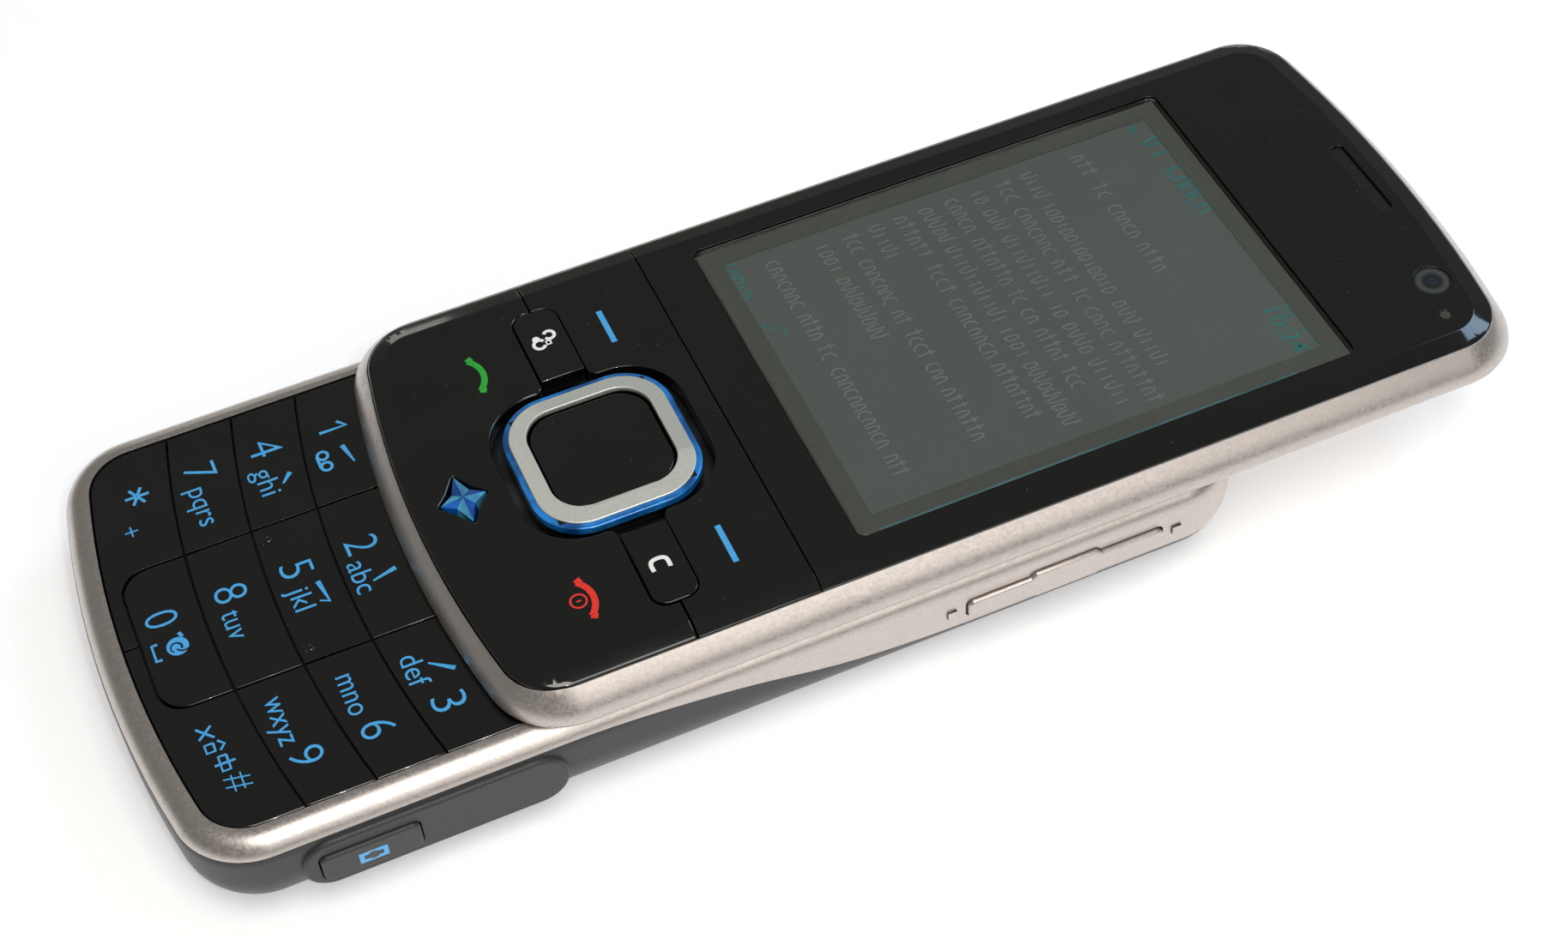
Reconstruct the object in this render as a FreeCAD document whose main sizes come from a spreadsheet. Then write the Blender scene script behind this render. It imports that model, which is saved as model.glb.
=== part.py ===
import FreeCAD, Part
import math
import os
import Sketcher

# Slider phone. Millimetres, +Z out of the display, +Y towards the earpiece end, +X to the
# right of someone reading the display. The phone lies on its back and is slid open. The origin
# is on the flat back of the lower half, half the body length from its keypad end.

doc = FreeCAD.newDocument("slider_phone")
Vector = FreeCAD.Vector

SIZES = [
    # whole phone
    ("body_length", 103.0, "length of the phone when it is closed"),
    ("body_width", 48.8, "width over the side frames"),
    ("corner_radius", 7.0, "corner radius of both halves, seen from the front"),
    ("chin_bow", 100.0, "radius of the bowed keypad ends"),
    ("crown_bow", 130.0, "radius of the bowed earpiece ends"),
    ("slide_travel", 28.0, "travel of the upper half"),
    ("slide_gap", 0.3, "gap between the two halves"),
    ("seam", 0.1, "hairline gap between fitted pieces"),
    ("play", 0.15, "clearance round a piece that moves"),
    ("screw_radius", 0.6, "shank radius of every screw"),
    ("screw_head", 1.2, "head radius of every screw"),
    ("case_head", 0.6, "head height of the case screws"),
    ("slide_head", 0.3, "head height of the slide screws"),
    # shells of the lower half
    ("crown_setback", 1.0, "how much the lower half is shorter at the earpiece end"),
    ("base_height", 11.0, "height of the lower half"),
    ("belly_radius", 6.5, "rounding of the lower edges"),
    ("belly_margin", 0.5, "how much that rounding stays below the corner radius"),
    ("rim_round", 2.3, "rounding of the top edge of the lower half"),
    ("wall", 1.2, "wall of the lower half"),
    ("keypad_inset", 2.5, "width of the frame round the number keys"),
    ("deck_drop", 2.0, "underside of the deck that carries keys and rails, from the top"),
    ("deck_thick", 0.4, "thickness of the deck"),
    ("split_drop", 1.5, "silver frame's depth at the keypad end"),
    ("split_low", 4.3, "height of the silver frame's lower edge at the earpiece end"),
    ("split_start", -17.0, "where that edge starts to fall"),
    ("split_end", 24.0, "where it has reached its low level"),
    ("cover_edge", 2.8, "height of the battery cover's edge"),
    ("cover_end", 30.5, "end of the battery cover, from the earpiece end"),
    ("cover_wall", 1.0, "thickness of the battery cover"),
    ("latch_reach", 1.2, "reach of the cover's latch tabs"),
    ("latch_width", 5.0, "width of a latch tab"),
    ("latch_thick", 0.35, "thickness of a latch tab"),
    ("latch_x", 11.0, "a latch tab from the middle plane"),
    ("latch_room", 0.3, "room past the latch tabs"),
    ("bay_drop", 4.0, "underside of the plate over the battery, from the top"),
    ("bay_plate", 0.6, "thickness of that plate"),
    ("bay_wall", 0.8, "thickness of the wall that closes the battery bay"),
    ("bulge_depth", 0.5, "how far the side bulge stands out"),
    ("bulge_ahead", 1.5, "side bulge's lower end before the camera key"),
    ("bulge_length", 23.6, "length of the side bulge"),
    ("bulge_drop", 1.8, "upper edge of the side bulge, from the top"),
    ("bulge_tall", 6.0, "height of the side bulge"),
    ("bulge_corner", 2.8, "corner radius of the side bulge"),
    ("bulge_round", 0.4, "rounding of the side bulge's rim"),
    ("mic_radius", 0.4, "radius of the microphone's hole"),
    # number keys
    ("key_groove", 0.22, "groove between two number keys"),
    ("key_drop", 0.1, "number keys below the frame's top"),
    ("key_thick", 1.2, "thickness of a number key"),
    ("key_travel", 0.25, "press of a key"),
    ("column_width", 16.0, "width of the middle key column"),
    ("row_pitch", 6.15, "pitch of the upper key rows"),
    ("last_row", 7.5, "length of the row with the 0 key, with the strip below it"),
    ("zero_strip", 1.6, "strip below the 0 key"),
    ("zero_corner", 2.6, "lower corner radius of the 0 key"),
    ("chin_cover", 6.0, "length of the number keys under the chin"),
    ("pusher_radius", 1.3, "radius of the pusher under a key"),
    ("dome_gap", 0.3, "gap between a pusher and its dome"),
    ("dot_radius", 0.3, "radius of a tactile dot on the 5 key"),
    ("dot_inset", 1.5, "a tactile dot from the sides of the 5 key"),
    ("dot_rise", 0.9, "a tactile dot from the lower side of the 5 key"),
    # side keys
    ("camera_key_place", 11.9, "camera key from the keypad end"),
    ("camera_key_length", 8.7, "length of the camera key"),
    ("camera_key_drop", 3.3, "upper edge of the camera key, from the top"),
    ("camera_key_tall", 3.3, "height of the camera key"),
    ("rocker_place", 11.1, "volume rocker from the earpiece end"),
    ("rocker_length", 19.3, "length of the volume rocker"),
    ("rocker_drop", 3.0, "upper edge of the volume rocker's ends, from the top"),
    ("rocker_tall", 2.2, "height of the volume rocker's ends"),
    ("rocker_middle", 7.0, "length of the volume rocker's taller middle"),
    ("rocker_swell", 0.5, "how much taller the middle is, each way"),
    ("side_key_corner", 0.7, "corner radius of the side keys"),
    ("side_key_round", 0.3, "rounding of the side keys' rims"),
    ("camera_key_proud", 0.35, "how far the camera key stands out of the bulge"),
    ("rocker_proud", 0.45, "how far the volume rocker stands out"),
    ("flange", 0.6, "flange that keeps a side key in its slot"),
    ("flange_play", 0.35, "room between a flange and the wall"),
    ("mark_offset", 1.5, "distance of a raised mark from the rocker"),
    ("mark_size", 0.9, "side of a raised mark"),
    ("mark_proud", 0.2, "how far a raised mark stands out"),
    ("strip_thick", 0.4, "thickness of the strip with the side switches"),
    ("strip_clear", 0.4, "gap between the side key strip and the deck"),
    # boards and cells of the lower half
    ("board_thick", 0.6, "thickness of the main board"),
    ("board_side", 6.9, "main board from the sides"),
    ("board_end", 4.8, "main board from the ends"),
    ("film", 0.2, "thickness of the dome sheets and the shield can"),
    ("can_side", 8.1, "shield can from the sides"),
    ("can_end", 6.0, "shield can from the earpiece end"),
    ("battery_side", 7.4, "battery from the sides"),
    ("battery_place", 17.5, "battery from the keypad end"),
    ("battery_lift", 0.6, "battery above the battery cover"),
    ("battery_corner", 1.0, "corner radius of the battery"),
    ("contact_width", 10.0, "width of the battery contact block"),
    ("contact_depth", 1.2, "depth of the battery contact block"),
    ("contact_pitch", 3.0, "pitch of the contacts"),
    ("contact_rise", 1.6, "contacts above the underside of the battery"),
    ("contact_half", 0.2, "half width of a contact"),
    ("card_end", 0.6, "card holder from the end of the battery cover"),
    ("card_gap", 2.4, "card holder from the battery"),
    ("card_side", 10.2, "card holder from the sides"),
    ("card_length", 9.0, "length of the card holder"),
    ("card_height", 1.5, "height of the card holder"),
    ("card_wall", 0.4, "walls of the card holder"),
    ("boss_radius", 1.7, "radius of the screw bosses"),
    ("boss_side", 4.8, "screw bosses from the sides"),
    ("boss_low", 8.0, "screw bosses from the keypad end"),
    ("boss_high", 7.0, "screw bosses from the earpiece end"),
    ("socket_drop", 6.0, "middle of the sockets, from the top"),
    ("socket_side", 14.4, "outer sockets from the sides"),
    ("socket_place", 2.4, "sockets from the wall at the keypad end"),
    ("socket_wall", 0.7, "wall of a socket"),
    ("charger_bore", 1.05, "bore radius of the charger socket"),
    ("headset_bore", 1.28, "bore radius of the headset socket"),
    ("plug_depth", 6.5, "depth of the sockets"),
    ("usb_width", 6.9, "mouth width of the data socket"),
    ("usb_height", 1.9, "mouth height of the data socket"),
    ("tongue_width", 4.4, "width of the data socket's tongue"),
    ("mic_side", 9.4, "microphone from the right side"),
    ("mic_place", 7.0, "microphone from the keypad end"),
    ("mic_case", 1.6, "radius of the microphone"),
    ("mic_height", 1.2, "height of the microphone"),
    ("camera_place", 14.5, "rear camera from the earpiece end"),
    ("camera_window", 3.4, "radius of the rear camera window"),
    ("camera_barrel", 2.4, "length of the rear camera's barrel"),
    ("camera_side", 8.5, "side of the rear camera module"),
    ("lamp_x", 8.0, "flash lamp from the rear camera"),
    ("lamp_radius", 1.6, "radius of the flash lamp"),
    ("speaker_belly", 0.3, "loudspeaker from the rounded edge of the back"),
    ("speaker_camera", 2.15, "loudspeaker from the rear camera module"),
    ("speaker_wall", 0.7, "wall of the loudspeaker"),
    ("speaker_height", 3.0, "height of the loudspeaker"),
    ("speaker_slot", 0.8, "width of a slot under the loudspeaker"),
    ("slot_length", 6.8, "length of a slot under the loudspeaker"),
    ("slot_pitch", 2.8, "pitch of those slots"),
    ("motor_side", 9.4, "vibration motor from the right side"),
    ("weight_place", 1.4, "the motor's weight from the wall of the battery bay"),
    ("motor_radius", 2.0, "radius of the vibration motor"),
    ("motor_length", 7.0, "length of the vibration motor"),
    ("saddle_width", 3.2, "width of the motor's saddle"),
    ("saddle_inset", 1.4, "the saddle from the ends of the motor"),
    ("weight_length", 3.0, "length of the motor's weight"),
    ("shaft_radius", 0.4, "radius of the motor's shaft"),
    ("shaft_reach", 2.8, "reach of the shaft into the motor"),
    ("antenna_half", 13.0, "half width of the antenna"),
    ("antenna_length", 3.6, "antenna along the phone"),
    ("antenna_place", 3.9, "antenna from the earpiece end"),
    ("antenna_gap", 0.2, "antenna above the loudspeaker"),
    # rails
    ("rail_side", 6.4, "fixed rail plate from the sides"),
    ("rail_start", 0.7, "fixed rail plate from the number keys"),
    ("rail_end", 3.7, "fixed rail plate from the earpiece end"),
    ("rail_sheet", 0.4, "sheet thickness of the rail plate"),
    ("rail_height", 1.3, "height of the rail plate over the deck"),
    ("rail_room", 0.3, "room round the rail plate"),
    ("lip_width", 1.8, "width of a rail's lip with its wall"),
    ("lip_thick", 0.3, "thickness of a rail's lip"),
    ("carriage_sheet", 0.35, "sheet thickness of the moving plate"),
    ("carriage_side", 7.4, "moving plate from the sides"),
    ("end_stop", 0.4, "moving plate from the ends of the rails"),
    ("leg_thick", 0.4, "thickness of a runner's leg"),
    ("foot_width", 2.0, "width of a runner's foot with its leg"),
    ("slide_screw_side", 5.4, "slide screws from the sides of the moving plate"),
    ("slide_screw_in", 3.6, "slide screws from the ends of the moving plate"),
    ("spring_wire", 0.25, "half the side of the slide spring's square wire"),
    ("spring_radius", 3.6, "radius of the slide spring's turn"),
    ("spring_place", 11.3, "slide spring from the end of the rails"),
    ("spring_reach", 5.5, "a spring pin from the middle of the spring, lengthways"),
    ("pin_radius", 0.8, "radius of the pins that hold the spring"),
    ("flex_width", 6.0, "width of the flex cable"),
    ("flex_thick", 0.15, "thickness of the flex cable"),
    ("flex_room", 0.2, "room round the flex cable in its slots"),
    ("flex_base", 10.8, "the flex cable's way out of the lower half, from the start of the rails"),
    ("flex_slot", 4.4, "the flex cable's way into the upper half, in the moving plate"),
    ("flex_loop", 8.0, "the flex cable's loop past that slot"),
    # shells of the upper half
    ("slider_height", 3.6, "height of the upper half"),
    ("face_drop", 0.5, "how much lower the face is at its edge"),
    ("face_bevel", 1.65, "width of the face's sloping edge"),
    ("face_thick", 1.6, "thickness of the face plates"),
    ("rim_width", 2.0, "width of the silver rim round the face"),
    ("chin_slim", 0.45, "how much narrower that rim is at the chin"),
    ("rim_land", 0.15, "flat top of the silver rim"),
    ("rim_under", 0.15, "how much the rim is drawn in at its underside"),
    ("rim_widest", 0.4, "height at which the rim is widest"),
    ("ledge", 1.5, "ledge that carries the face"),
    ("key_sink", 0.45, "how much lower the ledge is under the keys"),
    ("floor", 0.5, "floor of the upper frame"),
    ("plate_gap", 0.12, "gap between the plates of the face"),
    ("glass_rise", 3.95, "lower end of the glass plate, from the navigation ring"),
    # display
    ("window_low", 35.9, "lower end of the display window, from the chin"),
    ("window_high", 17.7, "display window from the earpiece end"),
    ("window_side", 5.55, "display window from the sides"),
    ("window_corner", 1.0, "corner radius of the display window"),
    ("window_thick", 0.7, "thickness of the display window"),
    ("window_sink", 0.08, "how much the display window lies below the face"),
    ("display_margin", 1.0, "display module past the window, all round"),
    ("display_lift", 0.2, "display module above the floor"),
    # keys of the upper half
    ("nav_rise", 19.4, "middle of the navigation key, from the chin"),
    ("nav_half", 7.45, "half width of the navigation ring"),
    ("nav_corner", 4.3, "corner radius of the navigation ring"),
    ("nav_inner", 5.9, "half width of the opening in the navigation ring"),
    ("nav_inner_corner", 3.1, "corner radius of that opening"),
    ("nav_proud", 0.6, "navigation ring above the face"),
    ("nav_tilt_room", 0.23, "room that lets the navigation ring tilt on its pad"),
    ("ring_thick", 0.5, "thickness of the silver ring"),
    ("skirt_out", 0.55, "blue skirt past the silver ring"),
    ("moat", 1.2, "moat round the navigation ring"),
    ("moat_long", 0.5, "how much longer than wide that moat is, each way"),
    ("shoulder_round", 0.9, "rounding of the plates where a pill meets the moat"),
    ("pill_back", 1.1, "inner end of a pill key from the moat"),
    ("centre_gap", 0.25, "gap round the centre key"),
    ("centre_proud", 0.15, "centre key above the face"),
    ("pill_side", 6.1, "outer end of a pill key, from the side"),
    ("pill_height", 4.2, "width of a pill key along the phone"),
    ("pill_corner", 1.4, "corner radius of a pill key"),
    ("pill_proud", 0.08, "pill keys above the face"),
    ("call_pusher", 7.6, "pushers of the call and end plate, below the navigation key"),
    ("star_rise", 6.3, "star key from the chin"),
    ("star_wide", 2.7, "star key's points to the sides"),
    ("star_tall", 2.1, "star key's points along the phone"),
    ("star_waist", 1.05, "star key's inner corners from its middle"),
    ("star_proud", 0.35, "star key above the face"),
    ("star_tip", 0.3, "half length of the star key's peak"),
    ("key_board_drop", 0.37, "upper dome sheet below the pushers of the keys"),
    ("key_board_gap", 0.3, "upper key board from the frame"),
    ("key_board_end", 2.2, "upper key board from the display window"),
    # earpiece end
    ("earpiece_drop", 5.5, "earpiece slot from the earpiece end"),
    ("earpiece_length", 9.5, "length of the earpiece slot"),
    ("earpiece_width", 1.4, "width of the earpiece slot"),
    ("earpiece_long", 11.9, "length of the earpiece"),
    ("earpiece_deep", 3.8, "width of the earpiece"),
    ("mesh_sink", 0.3, "earpiece mesh below the face"),
    ("front_camera_side", 10.0, "front camera from the right side"),
    ("front_camera_gap", 1.6, "rim of the front camera from the ledge at the earpiece end"),
    ("front_camera_radius", 1.7, "radius of the front camera's lens"),
    ("sensor_side", 5.9, "light sensor from the right side"),
    ("sensor_drop", 8.0, "light sensor from the earpiece end"),
    ("sensor_radius", 0.5, "radius of the light sensor"),
]

sheet = doc.addObject("Spreadsheet::Sheet", "Dims")
for row, (alias, value, note) in enumerate(SIZES, start=1):
    sheet.set("A%d" % row, note)
    sheet.set("B%d" % row, "%g" % value)
    sheet.setAlias("B%d" % row, alias)
doc.recompute()


class Size:
    """A length that keeps its formula, so that what is made from it stays bound to the sheet."""

    def __init__(self, value, text):
        self.value = float(value)
        self.text = text

    def __add__(self, other):
        other = mm(other)
        return Size(self.value + other.value, "(%s + %s)" % (self.text, other.text))

    def __sub__(self, other):
        other = mm(other)
        return Size(self.value - other.value, "(%s - %s)" % (self.text, other.text))

    def __mul__(self, other):
        other = mm(other)
        return Size(self.value * other.value, "(%s * %s)" % (self.text, other.text))

    def __truediv__(self, other):
        other = mm(other)
        return Size(self.value / other.value, "(%s / %s)" % (self.text, other.text))

    def __radd__(self, other):
        return mm(other) + self

    def __rsub__(self, other):
        return mm(other) - self

    def __neg__(self):
        return mm(0) - self


def mm(value):
    """A plain number as a Size."""
    return value if isinstance(value, Size) else Size(value, "(%.6f)" % value)


def dim(alias):
    """A cell of the sheet as a Size."""
    return Size(sheet.get(alias), "Dims." + alias)


def smaller(first, second):
    """The smaller of two lengths, such as a rounding and the wall that limits it."""
    return Size(min(first.value, second.value), "min(%s; %s)" % (first.text, second.text))


# ---------------------------------------------------------------- shared construction helpers

def bind(item, prop, value):
    item.setExpression(prop, mm(value).text)


def span(middle, half):
    return (middle - half, middle + half)


def box(label, xs, ys, zs):
    """A box between pairs of limits."""
    item = doc.addObject("Part::Box", label)
    for prop, axis, (low, high) in (("Length", "x", xs), ("Width", "y", ys), ("Height", "z", zs)):
        bind(item, prop, mm(high) - low)
        bind(item, "Placement.Base." + axis, low)
    return item


def cylinder(label, centre, radius, length, axis=Vector(0, 0, 1)):
    """A cylinder that starts at centre and runs along axis."""
    item = doc.addObject("Part::Cylinder", label)
    item.Placement.Rotation = FreeCAD.Rotation(Vector(0, 0, 1), axis)
    bind(item, "Radius", radius)
    bind(item, "Height", length)
    for name, value in zip("xyz", centre):
        bind(item, "Placement.Base." + name, value)
    return item


def fuse(label, parts):
    item = doc.addObject("Part::MultiFuse", label)
    item.Shapes = parts
    item.Refine = True
    return item


def cut(label, base, tools):
    item = doc.addObject("Part::Cut", label)
    item.Base = base
    item.Tool = tools[0] if len(tools) == 1 else fuse(label + "_tools", tools)
    item.Refine = True
    return item


def common(label, first, second):
    item = doc.addObject("Part::Common", label)
    item.Base = first
    item.Tool = second
    item.Refine = True
    return item


def new_body(label):
    item = doc.addObject("PartDesign::Body", label)
    item.Label = label
    return item


def new_sketch(body, name, role="XY_Plane", offset=0):
    """A sketch on one of the body's own origin planes, moved along that plane's normal."""
    item = body.newObject("Sketcher::SketchObject", name)
    plane = [feature for feature in body.Origin.OriginFeatures if feature.Role == role][0]
    item.AttachmentSupport = [(plane, "")]
    item.MapMode = "FlatFace"
    bind(item, "AttachmentOffset.Base.z", offset)
    return item


def fix(sketch, kind, first, second, value, name):
    """A named distance constraint from one sketch point to another, bound to the sheet."""
    value = mm(value)
    index = sketch.addConstraint(Sketcher.Constraint(kind, *first, *second, value.value))
    sketch.renameConstraint(index, name)
    sketch.setExpression("Constraints." + name, value.text)


def fix_radius(sketch, geo, value, name):
    value = mm(value)
    index = sketch.addConstraint(Sketcher.Constraint("Radius", geo, value.value))
    sketch.renameConstraint(index, name)
    sketch.setExpression("Constraints." + name, value.text)


ORIGIN = (-1, 1)


def centre_on_y(sketch, arc):
    """Puts an arc's centre on the sketch's own upright axis, which has the number -2."""
    sketch.addConstraint(Sketcher.Constraint("PointOnObject", arc, 3, -2))


def polygon(sketch, points, tag="p"):
    """A closed polygon whose corners are bound to the sheet."""
    points = [(mm(x), mm(y)) for x, y in points]
    count = len(points)
    corners = [Vector(x.value, y.value, 0) for x, y in points]
    first = sketch.GeometryCount
    for i in range(count):
        sketch.addGeometry(Part.LineSegment(corners[i], corners[(i + 1) % count]))
    for i in range(count):
        sketch.addConstraint(
            Sketcher.Constraint("Coincident", first + i, 2, first + (i + 1) % count, 1))
    for i, (x, y) in enumerate(points):
        fix(sketch, "DistanceX", ORIGIN, (first + i, 1), x, "%s_x%d" % (tag, i))
        fix(sketch, "DistanceY", ORIGIN, (first + i, 1), y, "%s_y%d" % (tag, i))


def rectangle(sketch, xs, ys, tag="p"):
    polygon(sketch, [(xs[0], ys[0]), (xs[1], ys[0]), (xs[1], ys[1]), (xs[0], ys[1])], tag)


def outline(sketch, low, high, inset):
    """The bowed outline of a half phone between two ends, drawn in by inset all round."""
    inset = mm(inset)
    half = dim("body_width") / 2 - inset
    corner = dim("corner_radius") - inset
    bows = (dim("chin_bow") - inset, dim("crown_bow") - inset)
    centres = (low + dim("chin_bow"), high - dim("crown_bow"))
    corner_x = half.value - corner.value

    def corner_y(which, sign):
        reach = math.sqrt((bows[which].value - corner.value) ** 2 - corner_x ** 2)
        return centres[which].value + sign * reach

    low_y = corner_y(0, -1)
    high_y = corner_y(1, 1)
    high_turn = math.atan2(high_y - centres[1].value, corner_x)
    low_turn = math.atan2(low_y - centres[0].value, corner_x)

    def arc(x, y, radius, start, end):
        shape = Part.Circle(Vector(x, y, 0), Vector(0, 0, 1), radius)
        sketch.addGeometry(Part.ArcOfCircle(shape, start, end))

    sketch.addGeometry(
        Part.LineSegment(Vector(half.value, low_y, 0), Vector(half.value, high_y, 0)))
    arc(corner_x, high_y, corner.value, 0, high_turn)
    arc(0, centres[1].value, bows[1].value, high_turn, math.pi - high_turn)
    arc(-corner_x, high_y, corner.value, math.pi - high_turn, math.pi)
    sketch.addGeometry(
        Part.LineSegment(Vector(-half.value, high_y, 0), Vector(-half.value, low_y, 0)))
    arc(-corner_x, low_y, corner.value, math.pi, math.pi - low_turn)
    arc(0, centres[0].value, bows[0].value, math.pi - low_turn, 2 * math.pi + low_turn)
    arc(corner_x, low_y, corner.value, 2 * math.pi + low_turn, 2 * math.pi)
    for i in range(8):
        sketch.addConstraint(Sketcher.Constraint("Tangent", i, 2, (i + 1) % 8, 1))
    for side in (0, 4):
        sketch.addConstraint(Sketcher.Constraint("Vertical", side))
    fix(sketch, "DistanceX", ORIGIN, (0, 1), half, "right")
    fix(sketch, "DistanceX", (4, 1), ORIGIN, half, "left")
    for geo in (1, 3, 5, 7):
        fix_radius(sketch, geo, corner, "corner%d" % geo)
    for geo, which in ((6, 0), (2, 1)):
        fix_radius(sketch, geo, bows[which], "bow%d" % geo)
        centre_on_y(sketch, geo)
        fix(sketch, "DistanceY", ORIGIN, (geo, 3), centres[which], "bow_y%d" % geo)


def pad(body, sketch, name, length):
    item = body.newObject("PartDesign::Pad", name)
    item.Profile = sketch
    bind(item, "Length", length)
    sketch.Visibility = False
    return item


def pocket(body, sketch, name, length):
    """A cut downwards from the sketch."""
    item = body.newObject("PartDesign::Pocket", name)
    item.Profile = sketch
    bind(item, "Length", length)
    sketch.Visibility = False
    return item


TINY = 1e-4    # what two lengths may differ by and still count as equal


def named_edges(shape):
    return [("Edge%d" % i, edge) for i, edge in enumerate(shape.Edges, start=1)]


def level_edges(shape, level):
    """Names of the edges that lie flat at one height."""
    return [name for name, edge in named_edges(shape)
            if abs(edge.BoundBox.ZMin - level) < TINY and abs(edge.BoundBox.ZMax - level) < TINY]


def upright_edges(shape):
    """Names of the straight edges that stand along Z."""
    return [name for name, edge in named_edges(shape)
            if edge.BoundBox.XLength < TINY and edge.BoundBox.YLength < TINY]


def dress(body, kind, name, base, edges, size):
    """A fillet or a chamfer on the named edges of a feature."""
    item = body.newObject("PartDesign::" + kind, name)
    item.Base = (base, edges)
    bind(item, "Radius" if kind == "Fillet" else "Size", size)
    return item


def soften_uprights(label, base, places, radius):
    """Rounds the upright edges of a solid that stand at the given places."""
    doc.recompute()
    rounded = []
    for i, edge in enumerate(base.Shape.Edges, 1):
        box = edge.BoundBox
        if box.XLength > TINY or box.YLength > TINY:
            continue
        if any(abs(box.XMin - x) < TINY and abs(box.YMin - y) < TINY for x, y in places):
            rounded.append((i, radius.value, radius.value))
    item = doc.addObject("Part::Fillet", label)
    item.Base = base
    item.Edges = rounded
    return item


def prism(label, points, zs):
    """An upright block over a polygon."""
    body = new_body(label)
    drawn = new_sketch(body, label + "_outline", offset=zs[0])
    polygon(drawn, points)
    pad(body, drawn, label + "_pad", mm(zs[1]) - zs[0])
    return body


def rounded_block(label, xs, ys, zs, corner):
    """An upright block with four rounded upright edges."""
    body = new_body(label)
    drawn = new_sketch(body, label + "_outline", offset=zs[0])
    rectangle(drawn, xs, ys)
    block = pad(body, drawn, label + "_pad", mm(zs[1]) - zs[0])
    doc.recompute()
    dress(body, "Fillet", label + "_corners", block, upright_edges(block.Shape), corner)
    return body


def half_blank(label, ends, inset, zs):
    """An upright block over the outline of a half phone."""
    body = new_body(label)
    drawn = new_sketch(body, label + "_outline", offset=zs[0])
    outline(drawn, ends[0], ends[1], inset)
    block = pad(body, drawn, label + "_pad", mm(zs[1]) - zs[0])
    doc.recompute()
    return body, block


nodes = []


def node(item):
    """Registers a finished sub-part: its Label names its file."""
    nodes.append(item)
    return item


# ---------------------------------------------------------------- lengths used by many pieces

length = dim("body_length")
half_width = dim("body_width") / 2
wall = dim("wall")
seam = dim("seam")
play = dim("play")
base_low = -(length / 2)
base_high = length / 2 - dim("crown_setback")
base_ends = (base_low, base_high)
base_top = dim("base_height")
deck = (base_top - dim("deck_drop"), base_top - dim("deck_drop") + dim("deck_thick"))
bay = (base_top - dim("bay_drop"), base_top - dim("bay_drop") + dim("bay_plate"))
board = (bay[1], bay[1] + dim("board_thick"))
dome_top = board[1] + dim("film")
belly = smaller(dim("belly_radius"), dim("corner_radius") - dim("belly_margin"))
slider_low = base_low + dim("slide_travel")
slider_high = slider_low + length
slider_ends = (slider_low, slider_high)
face_ends = (slider_low - dim("chin_slim"), slider_high)
slider_bottom = base_top + dim("slide_gap")
slider_floor = slider_bottom + dim("floor")
face_top = slider_bottom + dim("slider_height")
face_edge = face_top - dim("face_drop")
face_bottom = face_top - dim("face_thick")
face_inset = dim("rim_width") + seam / 2
key_ledge = face_bottom - dim("key_sink")
keypad_low = base_low + dim("keypad_inset")
keypad_high = slider_low + dim("chin_cover")
cover_end = base_high - dim("cover_end")
far = length * 2              # longer than anything it cuts
tall = base_top * 3           # higher than anything it cuts
ALONG_Y = Vector(0, 1, 0)


# ---------------------------------------------------------------- shells of the lower half

def lower_block():
    """The full outer form of the lower half, with its rounded belly and top edge."""
    body, block = half_blank("lower_block", base_ends, 0, (0, base_top))
    rounded = dress(body, "Fillet", "belly", block, level_edges(block.Shape, 0), belly)
    doc.recompute()
    edges = level_edges(rounded.Shape, base_top.value)
    dress(body, "Fillet", "rounded_rim", rounded, edges, dim("rim_round"))
    return body


def lower_hollow(label, inset):
    """The inside of a lower shell: its belly follows the outer one at the wall's distance."""
    body, block = half_blank(label, base_ends, inset, (inset, bay[0]))
    edges = level_edges(block.Shape, inset.value)
    radius = smaller(belly - inset, bay[0] - inset - dim("belly_margin"))
    dress(body, "Fillet", label + "_belly", block, edges, radius)
    return body


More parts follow.
